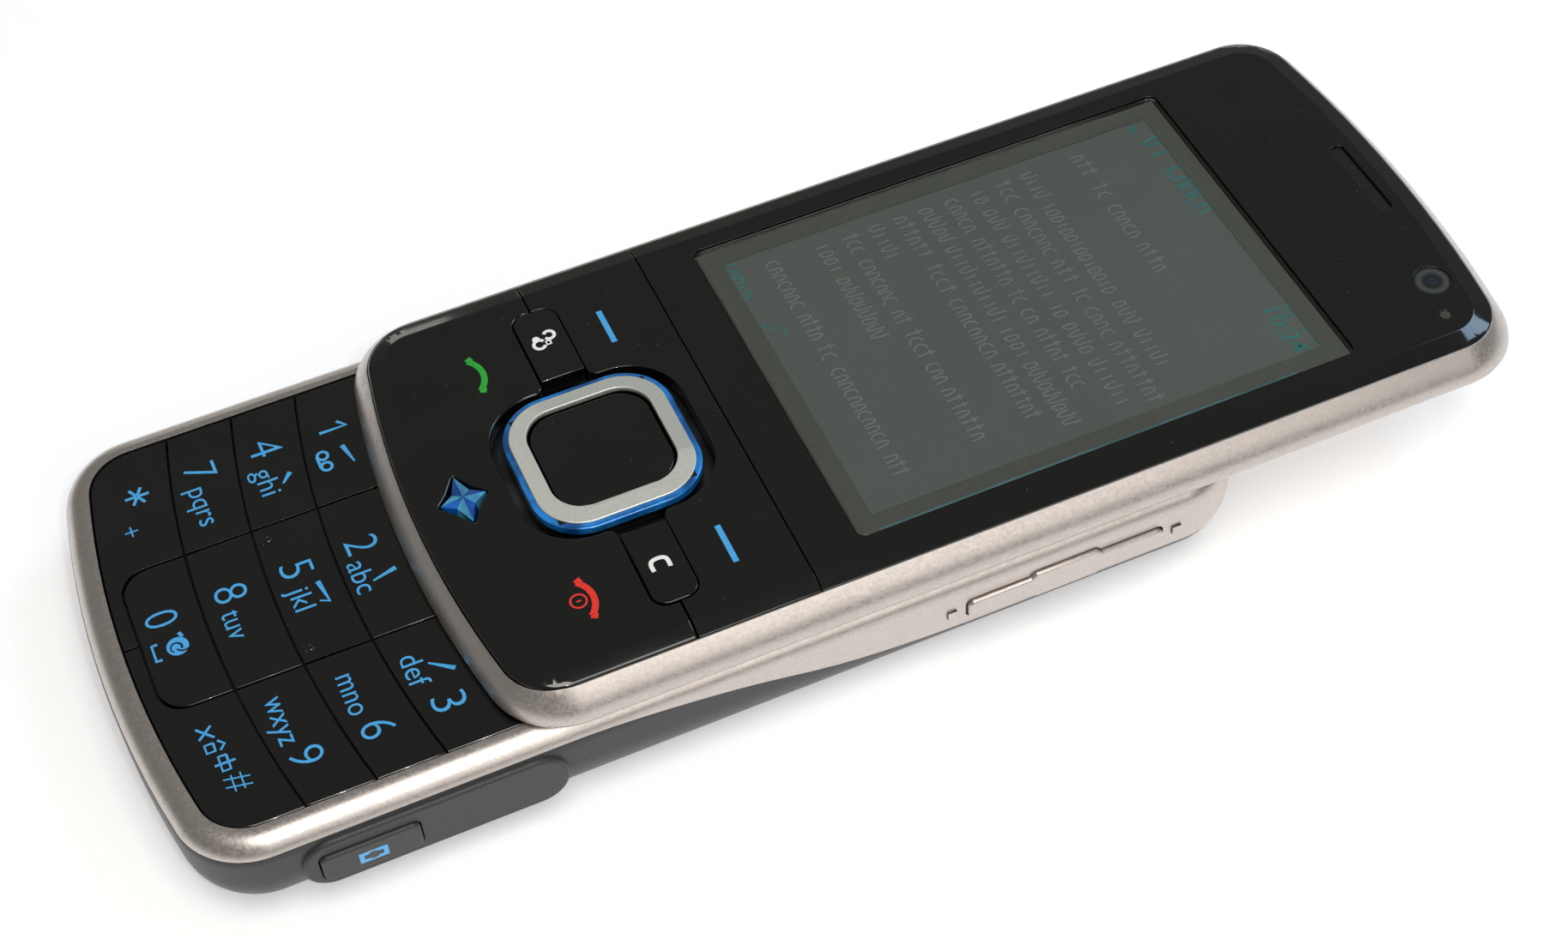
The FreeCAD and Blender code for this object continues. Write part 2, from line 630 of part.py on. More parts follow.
def split_region(label, above):
    """Everything above or below the line where the silver frame meets the dark housing."""
    high, low = base_top - dim("split_drop"), dim("split_low")
    start, end = dim("split_start"), dim("split_end")
    run, fall = end - start, high - low
    # the line is an S of two equal arcs between two level reaches
    bend = (run * run + fall * fall) / (fall * 4)
    turn = math.atan2(run.value / 2, bend.value - fall.value / 2)
    edge = far.value if above else -far.value
    body = new_body(label)
    drawn = new_sketch(body, label + "_line", role="YZ_Plane", offset=-far)

    def point(y, z):
        return Vector(y, z, 0)

    def segment(first, second):
        drawn.addGeometry(Part.LineSegment(first, second))

    corners = [point(-far.value, edge), point(-far.value, high.value),
               point(start.value, high.value)]
    segment(corners[0], corners[1])
    segment(corners[1], corners[2])
    ring = Part.Circle(point(start.value, high.value - bend.value), Vector(0, 0, 1), bend.value)
    drawn.addGeometry(Part.ArcOfCircle(ring, math.pi / 2 - turn, math.pi / 2))
    ring = Part.Circle(point(end.value, low.value + bend.value), Vector(0, 0, 1), bend.value)
    drawn.addGeometry(Part.ArcOfCircle(ring, 1.5 * math.pi - turn, 1.5 * math.pi))
    segment(point(end.value, low.value), point(far.value, low.value))
    segment(point(far.value, low.value), point(far.value, edge))
    segment(point(far.value, edge), corners[0])
    joints = ((0, 2, 1, 1), (1, 2, 2, 2), (2, 1, 3, 1), (3, 2, 4, 1), (4, 2, 5, 1), (5, 2, 6, 1),
              (6, 2, 0, 1))
    for first, first_end, second, second_end in joints:
        kind = "Tangent" if (first, second) in ((1, 2), (2, 3), (3, 4)) else "Coincident"
        drawn.addConstraint(Sketcher.Constraint(kind, first, first_end, second, second_end))
    for side in (0, 5):
        drawn.addConstraint(Sketcher.Constraint("Vertical", side))
    for level in (1, 4, 6):
        drawn.addConstraint(Sketcher.Constraint("Horizontal", level))
    fix(drawn, "DistanceX", (0, 1), ORIGIN, far, "left_end")
    fix(drawn, "DistanceX", ORIGIN, (4, 2), far, "right_end")
    fix(drawn, "DistanceY", ORIGIN, (0, 1), far if above else -far, "edge")
    fix(drawn, "DistanceX", ORIGIN, (1, 2), start, "start")
    fix(drawn, "DistanceY", ORIGIN, (1, 2), high, "high")
    fix(drawn, "DistanceX", ORIGIN, (4, 1), end, "end")
    fix(drawn, "DistanceY", ORIGIN, (4, 1), low, "low")
    drawn.addConstraint(Sketcher.Constraint("Equal", 2, 3))
    pad(body, drawn, label + "_pad", far * 2)
    return body


camera_key_y = (base_low + dim("camera_key_place"),
                base_low + dim("camera_key_place") + dim("camera_key_length"))
camera_key_z = (base_top - dim("camera_key_drop") - dim("camera_key_tall"),
                base_top - dim("camera_key_drop"))
rocker_y = (base_high - dim("rocker_place") - dim("rocker_length"),
            base_high - dim("rocker_place"))
rocker_z = (base_top - dim("rocker_drop") - dim("rocker_tall"), base_top - dim("rocker_drop"))
flange_x = (half_width - wall - dim("flange_play") - dim("flange"),
            half_width - wall - dim("flange_play"))
strip_x = (flange_x[0] - dim("key_travel") - play - dim("strip_thick"),
           flange_x[0] - dim("key_travel") - play)
boss_places = [(dim("boss_side") - half_width if side < 0 else half_width - dim("boss_side"), y)
               for side in (-1, 1)
               for y in (base_low + dim("boss_low"), base_high - dim("boss_high"))]
sockets = (dim("socket_side") - half_width, mm(0), half_width - dim("socket_side"))
socket_front = base_low + wall + dim("socket_place")
socket_z = base_top - dim("socket_drop")
mic_x = half_width - dim("mic_side")
camera_y = base_high - dim("camera_place")
camera_half = dim("camera_side") / 2
# the loudspeaker fills the flat floor between the camera and the rounded edge
speaker_room = (belly + dim("speaker_belly") - half_width, -camera_half - dim("speaker_camera"))
speaker_x = (speaker_room[0] + speaker_room[1]) / 2
speaker_radius = (speaker_room[1] - speaker_room[0]) / 2
bay_y = (cover_end + dim("latch_reach") + dim("latch_room"),
         cover_end + dim("latch_reach") + dim("latch_room") + dim("bay_wall"))


def rectangle_points(ys, zs, grow=0):
    return [(ys[0] - grow, zs[0] - grow), (ys[1] + grow, zs[0] - grow),
            (ys[1] + grow, zs[1] + grow), (ys[0] - grow, zs[1] + grow)]


def rocker_points(grow=0):
    """Outline of the volume rocker: its middle is taller than its ends."""
    middle = (rocker_y[0] + rocker_y[1]) / 2
    half = dim("rocker_middle") / 2
    swell = dim("rocker_swell")
    (left, right), (low, high) = ((rocker_y[0] - grow, rocker_y[1] + grow),
                                  (rocker_z[0] - grow, rocker_z[1] + grow))
    return [(left, low), (middle - half, low), (middle - half + swell, low - swell),
            (middle + half - swell, low - swell), (middle + half, low), (right, low),
            (right, high), (middle + half, high), (middle + half - swell, high + swell),
            (middle - half + swell, high + swell), (middle - half, high), (left, high)]


def side_block(label, xs, points, corner, rim=None):
    """A block that stands out sideways, with rounded end corners and a rounded outer rim."""
    body = new_body(label)
    drawn = new_sketch(body, label + "_face", role="YZ_Plane", offset=xs[0])
    polygon(drawn, points)
    block = pad(body, drawn, label + "_pad", mm(xs[1]) - xs[0])
    doc.recompute()
    ends = (min(y.value for y, z in points), max(y.value for y, z in points))
    edges = []
    for name, edge in named_edges(block.Shape):
        bounds = edge.BoundBox
        sideways = bounds.YLength < TINY and bounds.ZLength < TINY
        if sideways and min(abs(bounds.YMin - ends[0]), abs(bounds.YMin - ends[1])) < TINY:
            edges.append(name)
    rounded = dress(body, "Fillet", label + "_corners", block, edges, corner)
    if rim is not None:
        doc.recompute()
        outer = mm(xs[1]).value
        edges = [name for name, edge in named_edges(rounded.Shape)
                 if edge.BoundBox.XMin > outer - TINY]
        dress(body, "Fillet", label + "_rim", rounded, edges, rim)
    return body


def side_bulge():
    """Soft raised area of the right side, round the camera key."""
    low = camera_key_y[0] - dim("bulge_ahead")
    ys = (low, low + dim("bulge_length"))
    zs = (base_top - dim("bulge_drop") - dim("bulge_tall"), base_top - dim("bulge_drop"))
    return side_block("side_bulge", (half_width - wall, half_width + dim("bulge_depth")),
                      rectangle_points(ys, zs), dim("bulge_corner"), dim("bulge_round"))


def round_hole(label, x, y, radius, zs):
    return cylinder(label, (x, y, zs[0]), radius, mm(zs[1]) - zs[0])


def socket_mouths():
    """Holes for the three sockets and the microphone through the wall at the keypad end."""
    start = base_low - wall
    reach = dim("socket_place") + wall * 3
    holes = [cylinder("charger_mouth", (sockets[0], start, socket_z),
                      dim("charger_bore"), reach, ALONG_Y),
             cylinder("headset_mouth", (sockets[2], start, socket_z),
                      dim("headset_bore"), reach, ALONG_Y),
             cylinder("mic_mouth", (mic_x, start, socket_z), dim("mic_radius"), reach, ALONG_Y),
             box("data_mouth", span(sockets[1], dim("usb_width") / 2 + seam),
                 (start, start + reach), span(socket_z, dim("usb_height") / 2 + seam))]
    return holes


def latch_tab(label, x):
    """A tab of the battery cover that reaches in over the housing's floor."""
    xs = span(x, dim("latch_width") / 2)
    low = wall + seam / 2
    root = box(label + "_root", xs, (cover_end - dim("latch_reach"), cover_end),
               (dim("cover_wall") / 2, low + dim("latch_thick")))
    tongue = box(label + "_tongue", xs, (cover_end - seam, cover_end + dim("latch_reach")),
                 (low, low + dim("latch_thick")))
    return [root, tongue]


def battery_cover(outside):
    """Tray-shaped cover that wraps round the keypad end of the back."""
    region = box("cover_region", (-far, far), (-far, cover_end), (-tall, dim("cover_edge")))
    tray = common("cover_solid", outside, region)
    shell = cut("cover_shell", tray, [lower_hollow("cover_hollow", dim("cover_wall"))])
    tabs = latch_tab("left_latch", -dim("latch_x")) + latch_tab("right_latch", dim("latch_x"))
    return node(fuse("battery_cover", [shell] + tabs))


def back_housing(outside):
    """Dark lower housing: walls over the cover, a floor past it, and the battery plate."""
    lower = common("housing_solid", outside, split_region("below_split", False))
    bulged = fuse("housing_with_bulge", [lower, side_bulge()])
    over_plate, _ = half_blank("over_plate", base_ends, wall, (bay[0] - seam, tall))
    slot_y = [camera_y + dim("slot_pitch") * i for i in (-1, 0, 1)]
    openings = [box("cover_room", (-far, far), (-far, cover_end + seam),
                    (-tall, dim("cover_edge") + seam)),
                round_hole("camera_opening", 0, camera_y, dim("camera_window") + seam,
                           (-wall, wall * 2)),
                round_hole("lamp_opening", dim("lamp_x"), camera_y, dim("lamp_radius") + seam,
                           (-wall, wall * 2))]
    openings += [box("speaker_slot_%d" % i, span(speaker_x, dim("slot_length") / 2),
                     span(y, dim("speaker_slot") / 2), (-wall, wall * 2))
                 for i, y in enumerate(slot_y)]
    shell = cut("housing_shell", bulged,
                [lower_hollow("housing_hollow", wall), over_plate] + openings + socket_mouths())
    plate, _ = half_blank("battery_plate", base_ends, wall + seam / 2, bay)
    # the plate's rim is let into the housing only where the housing stands beside it
    tie, _ = half_blank("battery_plate_tie", base_ends, wall - seam, bay)
    tie_side = box("tie_side", (-far, far), (-far, dim("split_start")), (0, tall))
    bay_end = box("bay_end", span(mm(0), half_width - belly / 2), bay_y,
                  (wall - seam, bay[0] + seam))
    whole = fuse("housing_with_plate", [shell, plate, common("plate_tie", tie, tie_side),
                                        bay_end])
    reach = dim("flange") + seam
    tools = [side_block("camera_key_slot", (flange_x[0] - play, far),
                        rectangle_points(camera_key_y, camera_key_z, play),
                        dim("side_key_corner")),
             box("camera_flange_room", (strip_x[0] - seam / 2, half_width - wall),
                 (camera_key_y[0] - reach, camera_key_y[1] + reach),
                 (camera_key_z[0] - reach, camera_key_z[1] + reach)),
             box("rocker_flange_room", (strip_x[1] + seam / 2, half_width - wall),
                 (rocker_y[0] - reach, rocker_y[1] + reach),
                 (rocker_z[0] - reach - dim("rocker_swell"), rocker_z[1] + reach))]
    tools += [round_hole("housing_hole_%d" % i, x, y, dim("screw_radius") + seam,
                         (bay[0] - wall, bay[1] + wall)) for i, (x, y) in enumerate(boss_places)]
    return node(cut("back_housing", whole, tools))


def base_frame(outside):
    """Silver side frame with the keypad surround and the deck."""
    upper = common("frame_solid", outside, split_region("above_split", True))
    inside, _ = half_blank("frame_inside", base_ends, wall, (-tall, deck[0]))
    ring = cut("frame_ring", upper, [inside])
    plate, _ = half_blank("deck_plate", base_ends, wall, deck)
    bosses = [round_hole("boss_%d" % i, x, y, dim("boss_radius"), (bay[1], deck[1]))
              for i, (x, y) in enumerate(boss_places)]
    mark_z = span((rocker_z[0] + rocker_z[1]) / 2, dim("mark_size") / 2)
    marks = [box("mark_%d" % i, (half_width - wall / 2, half_width + dim("mark_proud")),
                 span(y, dim("mark_size") / 2), mark_z)
             for i, y in enumerate((rocker_y[0] - dim("mark_offset"),
                                    rocker_y[1] + dim("mark_offset")))]
    whole = fuse("frame_whole", [ring, plate] + bosses + marks)
    keypad_room, _ = half_blank("keypad_room", base_ends, dim("keypad_inset"), (deck[1], tall))
    keypad_side = box("keypad_side", (-far, far), (-far, keypad_high + seam), (0, tall))
    rail_well = box("rail_well", span(mm(0), rail_half + dim("rail_room")),
                    (keypad_high, rail_end + dim("rail_room")), (deck[1], tall))
    tools = [common("keypad_well", keypad_room, keypad_side), rail_well,
             flex_opening("deck_flex_slot", flex_base, (deck[0] - wall, deck[1] + wall)),
             side_block("rocker_slot", (flange_x[0] - play, far), rocker_points(play),
                        dim("side_key_corner"))]
    tools += [round_hole("pusher_hole_%d" % i, x, y, dim("pusher_radius") + dim("key_groove"),
                         (deck[0] - wall, deck[1] + wall))
              for i, (x, y) in enumerate(key_centres())]
    tools += [round_hole("boss_bore_%d" % i, x, y, dim("screw_radius") + seam / 2,
                         (bay[1] - wall, deck[0])) for i, (x, y) in enumerate(boss_places)]
    return node(cut("base_frame", whole, tools))


# ---------------------------------------------------------------- number keys

KEYPAD = (("key_star", "key_0", "key_hash"), ("key_7", "key_8", "key_9"),
          ("key_4", "key_5", "key_6"), ("key_1", "key_2", "key_3"))
key_z = (base_top - dim("key_drop") - dim("key_thick"), base_top - dim("key_drop"))
strip_top = keypad_low + dim("zero_strip")
row_seams = [keypad_low + dim("last_row") + dim("row_pitch") * i for i in range(3)]
column_half = dim("column_width") / 2
columns = (-half_width, -column_half, column_half, half_width)


def key_centres():
    """Places of the pushers, row by row from the keypad end."""
    side = (half_width - dim("keypad_inset") + column_half) / 2
    rows = [(strip_top + row_seams[0]) / 2]
    rows += [row_seams[i] + dim("row_pitch") / 2 for i in range(3)]
    return [(x, y) for y in rows for x in (-side, mm(0), side)]


def bowed_cell(label, xs, ys, bowed, zs):
    """A block between two upright sides, with two bowed or straight ends."""
    body = new_body(label)
    drawn = new_sketch(body, label + "_outline", offset=zs[0])
    bow = dim("chin_bow")

    def end_point(which, x):
        drop = bow.value - math.sqrt(bow.value ** 2 - x.value ** 2) if bowed[which] else 0
        return Vector(x.value, ys[which].value + drop, 0)

    def add_end(which, left, right):
        """The end from left to right: an arc runs that way round its centre."""
        if not bowed[which]:
            drawn.addGeometry(Part.LineSegment(left, right))
            return
        centre = Vector(0, ys[which].value + bow.value, 0)
        turns = [math.atan2(p.y - centre.y, p.x - centre.x) for p in (left, right)]
        ring = Part.Circle(centre, Vector(0, 0, 1), bow.value)
        drawn.addGeometry(Part.ArcOfCircle(ring, turns[0], turns[1]))

    corners = [[end_point(which, x) for x in xs] for which in (0, 1)]
    add_end(0, *corners[0])
    drawn.addGeometry(Part.LineSegment(corners[0][1], corners[1][1]))
    add_end(1, *corners[1])
    drawn.addGeometry(Part.LineSegment(corners[1][0], corners[0][0]))
    for first, first_end, second, second_end in ((0, 2, 1, 1), (1, 2, 2, 2), (2, 1, 3, 1),
                                                 (3, 2, 0, 1)):
        drawn.addConstraint(
            Sketcher.Constraint("Coincident", first, first_end, second, second_end))
    for geo, which in ((0, 0), (2, 1)):
        if bowed[which]:
            centre_on_y(drawn, geo)
            fix_radius(drawn, geo, bow, "end%d_radius" % geo)
            fix(drawn, "DistanceY", ORIGIN, (geo, 3), ys[which] + bow, "end%d_place" % geo)
        else:
            drawn.addConstraint(Sketcher.Constraint("Horizontal", geo))
            fix(drawn, "DistanceY", ORIGIN, (geo, 1), ys[which], "end%d_place" % geo)
    for geo, x in ((1, xs[1]), (3, xs[0])):
        drawn.addConstraint(Sketcher.Constraint("Vertical", geo))
        fix(drawn, "DistanceX", ORIGIN, (geo, 1), x, "side%d_place" % geo)
    pad(body, drawn, label + "_pad", zs[1] - zs[0])
    return body


def zero_key_top(surface, xs, high):
    """The 0 key's top, with two rounded lower corners."""
    low = strip_top + dim("key_groove") / 2
    cell = bowed_cell("zero_cell", xs, (low, high), (False, True), key_z)
    doc.recompute()
    block = cell.Tip
    edges = [name for name in upright_edges(block.Shape)
             if block.Shape.getElement(name).BoundBox.YMin < low.value + TINY]
    dress(cell, "Fillet", "zero_corners", block, edges, dim("zero_corner"))
    return common("key_0_top", surface, cell)


def corner_key_top(name, surface, side, high):
    """The top of the star or hash key, which reaches round below the 0 key to the middle."""
    gap = dim("key_groove") / 2
    xs = (columns[0], -gap) if side < 0 else (gap, columns[3])
    cell = bowed_cell(name + "_cell", xs, (base_low, high), (True, True), key_z)
    notch_x = (columns[1] - gap, columns[3]) if side < 0 else (columns[0], columns[2] + gap)
    notch = rounded_block(name + "_notch", notch_x, (strip_top - gap, far), key_z,
                          dim("zero_corner"))
    return cut(name + "_top", common(name + "_whole", surface, cell), [notch])


def number_keys():
    """Twelve glossy keys in bowed rows, each with a pusher through the deck."""
    gap = dim("key_groove") / 2
    surface, block = half_blank("keypad_surface", base_ends,
                                dim("keypad_inset") + dim("key_groove") / 2, key_z)
    edges = level_edges(block.Shape, key_z[1].value)
    dress(surface, "Fillet", "keypad_edge", block, edges, dim("key_groove"))
    centres = key_centres()
    for row, names in enumerate(KEYPAD):
        high = row_seams[row] - gap if row < 3 else keypad_high
        for column, name in enumerate(names):
            xs = (columns[column] + gap, columns[column + 1] - gap)
            if name == "key_0":
                top = zero_key_top(surface, xs, high)
            elif row == 0:
                top = corner_key_top(name, surface, column - 1, high)
            else:
                ends = (row_seams[row - 1] + gap, high)
                cell = bowed_cell(name + "_cell", xs, ends, (True, row < 3), key_z)
                top = common(name + "_top", surface, cell)
            x, y = centres[row * 3 + column]
            foot = dome_top + dim("dome_gap")
            solids = [top, round_hole(name + "_pusher", x, y, dim("pusher_radius"),
                                      (foot, key_z[0] + gap))]
            if name == "key_5":
                dot_y = row_seams[1] + dim("dot_rise")
                solids += [round_hole("dot_%d" % i, dot_x, dot_y, dim("dot_radius"),
                                      (key_z[0], base_top))
                           for i, dot_x in enumerate((xs[0] + dim("dot_inset"),
                                                      xs[1] - dim("dot_inset")))]
            node(fuse(name, solids))


# ---------------------------------------------------------------- side keys

def side_keys():
    """Camera key and volume rocker, each with a flange behind the wall."""
    lip = dim("flange")
    bulge_face = half_width + dim("bulge_depth")
    camera = side_block("camera_cap", (flange_x[0], bulge_face + dim("camera_key_proud")),
                        rectangle_points(camera_key_y, camera_key_z), dim("side_key_corner"),
                        dim("side_key_round"))
    camera_flange = box("camera_flange", flange_x, (camera_key_y[0] - lip, camera_key_y[1] + lip),
                        (camera_key_z[0] - lip, camera_key_z[1] + lip))
    node(fuse("camera_key", [camera, camera_flange]))
    rocker = side_block("rocker_cap", (flange_x[0], half_width + dim("rocker_proud")),
                        rocker_points(), dim("side_key_corner"), dim("side_key_round"))
    rocker_flange = box("rocker_flange", flange_x, (rocker_y[0] - lip, rocker_y[1] + lip),
                        (rocker_z[0] - lip, rocker_z[1] + lip))
    node(fuse("volume_rocker", [rocker, rocker_flange]))


def side_key_strip():
    """Switch strip that stands on the battery plate behind the side keys."""
    low, high = bay[1], deck[0] - dim("strip_clear")
    tab = (camera_key_y[0] + dim("flange"), camera_key_y[1] - dim("flange"))
    body = new_body("side_key_strip")
    drawn = new_sketch(body, "strip_outline", role="YZ_Plane", offset=strip_x[0])
    polygon(drawn, [(camera_key_y[0], low), (tab[0], low), (tab[0], camera_key_z[0]),
                    (tab[1], camera_key_z[0]), (tab[1], low), (rocker_y[1], low),
                    (rocker_y[1], high), (camera_key_y[0], high)])
    pad(body, drawn, "strip_pad", dim("strip_thick"))
    return node(body)


# ---------------------------------------------------------------- inside of the lower half

def lower_boards():
    """Main board with its dome sheet and shield can."""
    half = half_width - dim("board_side")
    node(box("main_board", span(mm(0), half),
             (base_low + dim("board_end"), base_high - dim("board_end")), board))
    node(box("key_dome_sheet", span(mm(0), half), (base_low + dim("board_end"), keypad_high),
             (board[1], dome_top)))
    can_x = span(mm(0), half_width - dim("can_side"))
    can_y = (flex_base + dim("can_end"), base_high - dim("can_end"))
    film = dim("film")
    block = box("can_block", can_x, can_y, (board[1], deck[0]))
    room = box("can_room", (can_x[0] + film, can_x[1] - film), (can_y[0] + film, can_y[1] - film),
               (board[0], deck[0] - film))
    node(cut("shield_can", block, [room]))


def battery_and_cards():
    """Battery, its contacts, and the holder for the SIM and memory cards."""
    start = base_low + dim("battery_place")
    card_y = (cover_end - dim("card_end") - dim("card_length"), cover_end - dim("card_end"))
    end = card_y[0] - dim("card_gap")
    zs = (dim("cover_wall") + dim("battery_lift"), bay[0] - seam)
    node(rounded_block("battery", span(mm(0), half_width - dim("battery_side")), (start, end), zs,
                       dim("battery_corner")))
    back = end + dim("contact_depth") + seam
    pieces = [box("contact_block", span(mm(0), dim("contact_width") / 2), (end + seam, back),
                  (zs[0], bay[0]))]
    low = zs[0] + dim("contact_rise")
    for i in (-1, 0, 1):
        pieces.append(box("contact_%d" % (i + 2),
                          span(dim("contact_pitch") * i, dim("contact_half")),
                          (end + seam / 2, back), (low, low + dim("contact_depth"))))
    node(fuse("battery_contacts", pieces))
    card_z = (bay[0] - dim("card_height"), bay[0])
    card_x = span(mm(0), half_width - dim("card_side"))
    side = dim("card_wall")
    shell = box("card_shell", card_x, card_y, card_z)
    slot_y = (card_y[0] - side, card_y[1] - side)
    slot_z = (card_z[0] + side, card_z[1] - side)
    left = box("sim_slot", (card_x[0] + side, -side / 2), slot_y, slot_z)
    right = box("memory_slot", (side / 2, card_x[1] - side), slot_y, slot_z)
    node(cut("card_holder", shell, [left, right]))


def lower_sockets():
    """Charger, data and headset sockets and the microphone, hung from the battery plate."""
    side = dim("socket_wall")
    reach = dim("plug_depth")
    ys = (socket_front, socket_front + reach + side)
    for label, x, bore in (("charger_socket", sockets[0], dim("charger_bore")),
                           ("headset_socket", sockets[2], dim("headset_bore"))):
        case = box(label + "_case", span(x, bore + side), ys, (socket_z - bore - side, bay[0]))
        hole = cylinder(label + "_bore", (x, socket_front - side, socket_z), bore, reach + side,
                        ALONG_Y)
        node(cut(label, case, [hole]))
    half_tall = dim("usb_height") / 2
    case = box("data_case", span(sockets[1], dim("usb_width") / 2 + side), ys,
               (socket_z - half_tall - side, bay[0]))
    hole = box("data_hole", span(sockets[1], dim("usb_width") / 2),
               (socket_front - side, ys[1] - side), span(socket_z, half_tall))
    tongue = box("data_tongue", span(sockets[1], dim("tongue_width") / 2),
                 (socket_front + side, ys[1]), span(socket_z, half_tall / 4))
    node(fuse("data_socket", [cut("data_shell", case, [hole]), tongue]))
    node(round_hole("microphone", mic_x, base_low + dim("mic_place"), dim("mic_case"),
                    (bay[0] - dim("mic_height"), bay[0])))


def lower_far_end():
    """Camera, lamp, loudspeaker, motor and antenna, past the battery."""
    film = dim("film")
    node(round_hole("rear_camera_window", 0, camera_y, dim("camera_window"), (film, wall)))
    barrel = round_hole("camera_barrel", 0, camera_y, dim("camera_window") - film,
                        (wall, wall + dim("camera_barrel")))
    block = box("camera_block", span(mm(0), camera_half), span(camera_y, camera_half),
                (wall + dim("camera_barrel") / 2, bay[0]))
    node(fuse("rear_camera", [barrel, block]))
    node(round_hole("flash_lamp", dim("lamp_x"), camera_y, dim("lamp_radius"), (film, bay[0])))
    case = round_hole("speaker_case", speaker_x, camera_y, speaker_radius,
                      (wall, wall + dim("speaker_height")))
    pit = round_hole("speaker_pit", speaker_x, camera_y, speaker_radius - dim("speaker_wall"),
                     (0, wall + dim("speaker_height") / 2))
    node(cut("loudspeaker", case, [pit]))
    ys = (base_high - dim("antenna_place") - dim("antenna_length"),
          base_high - dim("antenna_place"))
    node(box("antenna", span(mm(0), dim("antenna_half")), ys,
             (wall + dim("speaker_height") + dim("antenna_gap"), bay[0])))


def vibrator():
    """Motor under the battery plate, and the off-centre weight on its shaft."""
    x = half_width - dim("motor_side")
    start = bay_y[1] + dim("weight_place")
    y = start + dim("weight_length") + play * 2
    radius, reach, shaft = dim("motor_radius"), dim("motor_length"), dim("shaft_radius")
    z = bay[0] - radius - seam
    can = cylinder("motor_can", (x, y, z), radius, reach, ALONG_Y)
    saddle = box("motor_saddle", span(x, dim("saddle_width") / 2),
                 (y + dim("saddle_inset"), y + reach - dim("saddle_inset")), (z, bay[0]))
    bore = cylinder("motor_bore", (x, y - seam, z), shaft + seam / 2, reach / 2, ALONG_Y)
    node(cut("vibration_motor", fuse("motor_body", [can, saddle]), [bore]))
    disc = cylinder("weight_disc", (x, start, z), radius - seam, dim("weight_length"), ALONG_Y)
    upper = box("weight_room", span(x, radius * 2), (start - seam, y), (z, z + radius * 2))
    axle = cylinder("weight_axle", (x, start, z), shaft, dim("weight_length") + dim("shaft_reach"),
                    ALONG_Y)
    node(fuse("vibration_weight", [cut("weight_half", disc, [upper]), axle]))


def screw_set(label, places, head_z, shank_top):
    """Equal screws, heads down, as one sub-part."""
    solids = []
    for i, (x, y) in enumerate(places):
        head = round_hole("%s_head_%d" % (label, i), x, y, dim("screw_head"), head_z)
        shank = round_hole("%s_shank_%d" % (label, i), x, y, dim("screw_radius"),
                           (head_z[1] - seam, shank_top))
        solids.append(fuse("%s_%d" % (label, i), [head, shank]))
    group = doc.addObject("Part::Compound", label)
    group.Links = solids
    return node(group)


# ---------------------------------------------------------------- rails between the halves

rail_half = half_width - dim("rail_side")
rail_start = keypad_high + dim("rail_start")
rail_end = base_high - dim("rail_end")
rail_floor = deck[1] + dim("rail_sheet")
rail_top = deck[1] + dim("rail_height")
lip_low = rail_top - dim("lip_thick")
carriage_y = (rail_start + dim("slide_travel") + dim("end_stop"), rail_end - dim("end_stop"))
carriage_z = (slider_bottom - dim("carriage_sheet"), slider_bottom)
carriage_half = half_width - dim("carriage_side")
slide_screw_x = carriage_half - dim("slide_screw_side")
spring_eye = dim("pin_radius") + dim("spring_wire") + seam
pin_x = dim("spring_radius") + spring_eye
spring_y = rail_end - dim("spring_place")
spring_pins = ((-pin_x, spring_y - dim("spring_reach")),
               (pin_x, spring_y + dim("spring_reach")))
flex_base = rail_start + dim("flex_base")
flex_slot = carriage_y[0] + dim("flex_slot")
flex_tail = slider_low + dim("nav_rise") + dim("nav_half")
slide_screw_places = [(slide_screw_x * side, y) for side in (-1, 1)
                      for y in (carriage_y[0] + dim("slide_screw_in"),
                                carriage_y[1] - dim("slide_screw_in"))]


def flex_opening(label, y, zs):
    """A slot that lets the flex cable through at right angles."""
    room = dim("flex_room")
    return box(label, span(mm(0), dim("flex_width") / 2 + room),
               (y - dim("flex_thick") - room, y + room), zs)


def channel(label, points, ys):
    """A folded sheet: a section across the phone, run along it."""
    body = new_body(label)
    drawn = new_sketch(body, label + "_section", role="XZ_Plane", offset=-ys[1])
    polygon(drawn, points)
    pad(body, drawn, label + "_pad", ys[1] - ys[0])
    return body


def mirrored(points):
    """A half section from the middle plane outwards, closed by its mirror image."""
    return [(-x, z) for x, z in points] + [(x, z) for x, z in reversed(points)]


def fixed_rail_plate():
    """Steel plate on the deck with a rail folded over along each side."""
    inner = rail_half - dim("rail_sheet")
    lip = rail_half - dim("lip_width")
    points = mirrored([(rail_half, deck[1]), (rail_half, rail_top), (lip, rail_top),
                       (lip, lip_low), (inner, lip_low), (inner, rail_floor)])
    rails = channel("rail_profile", points, (rail_start, rail_end))
    pin = round_hole("fixed_pin", *spring_pins[0], dim("pin_radius"), (deck[1], rail_top))
    slot = flex_opening("rail_flex_slot", flex_base, (deck[0], rail_floor + wall))
    return node(cut("fixed_rail_plate", fuse("rails_with_pin", [rails, pin]), [slot]))


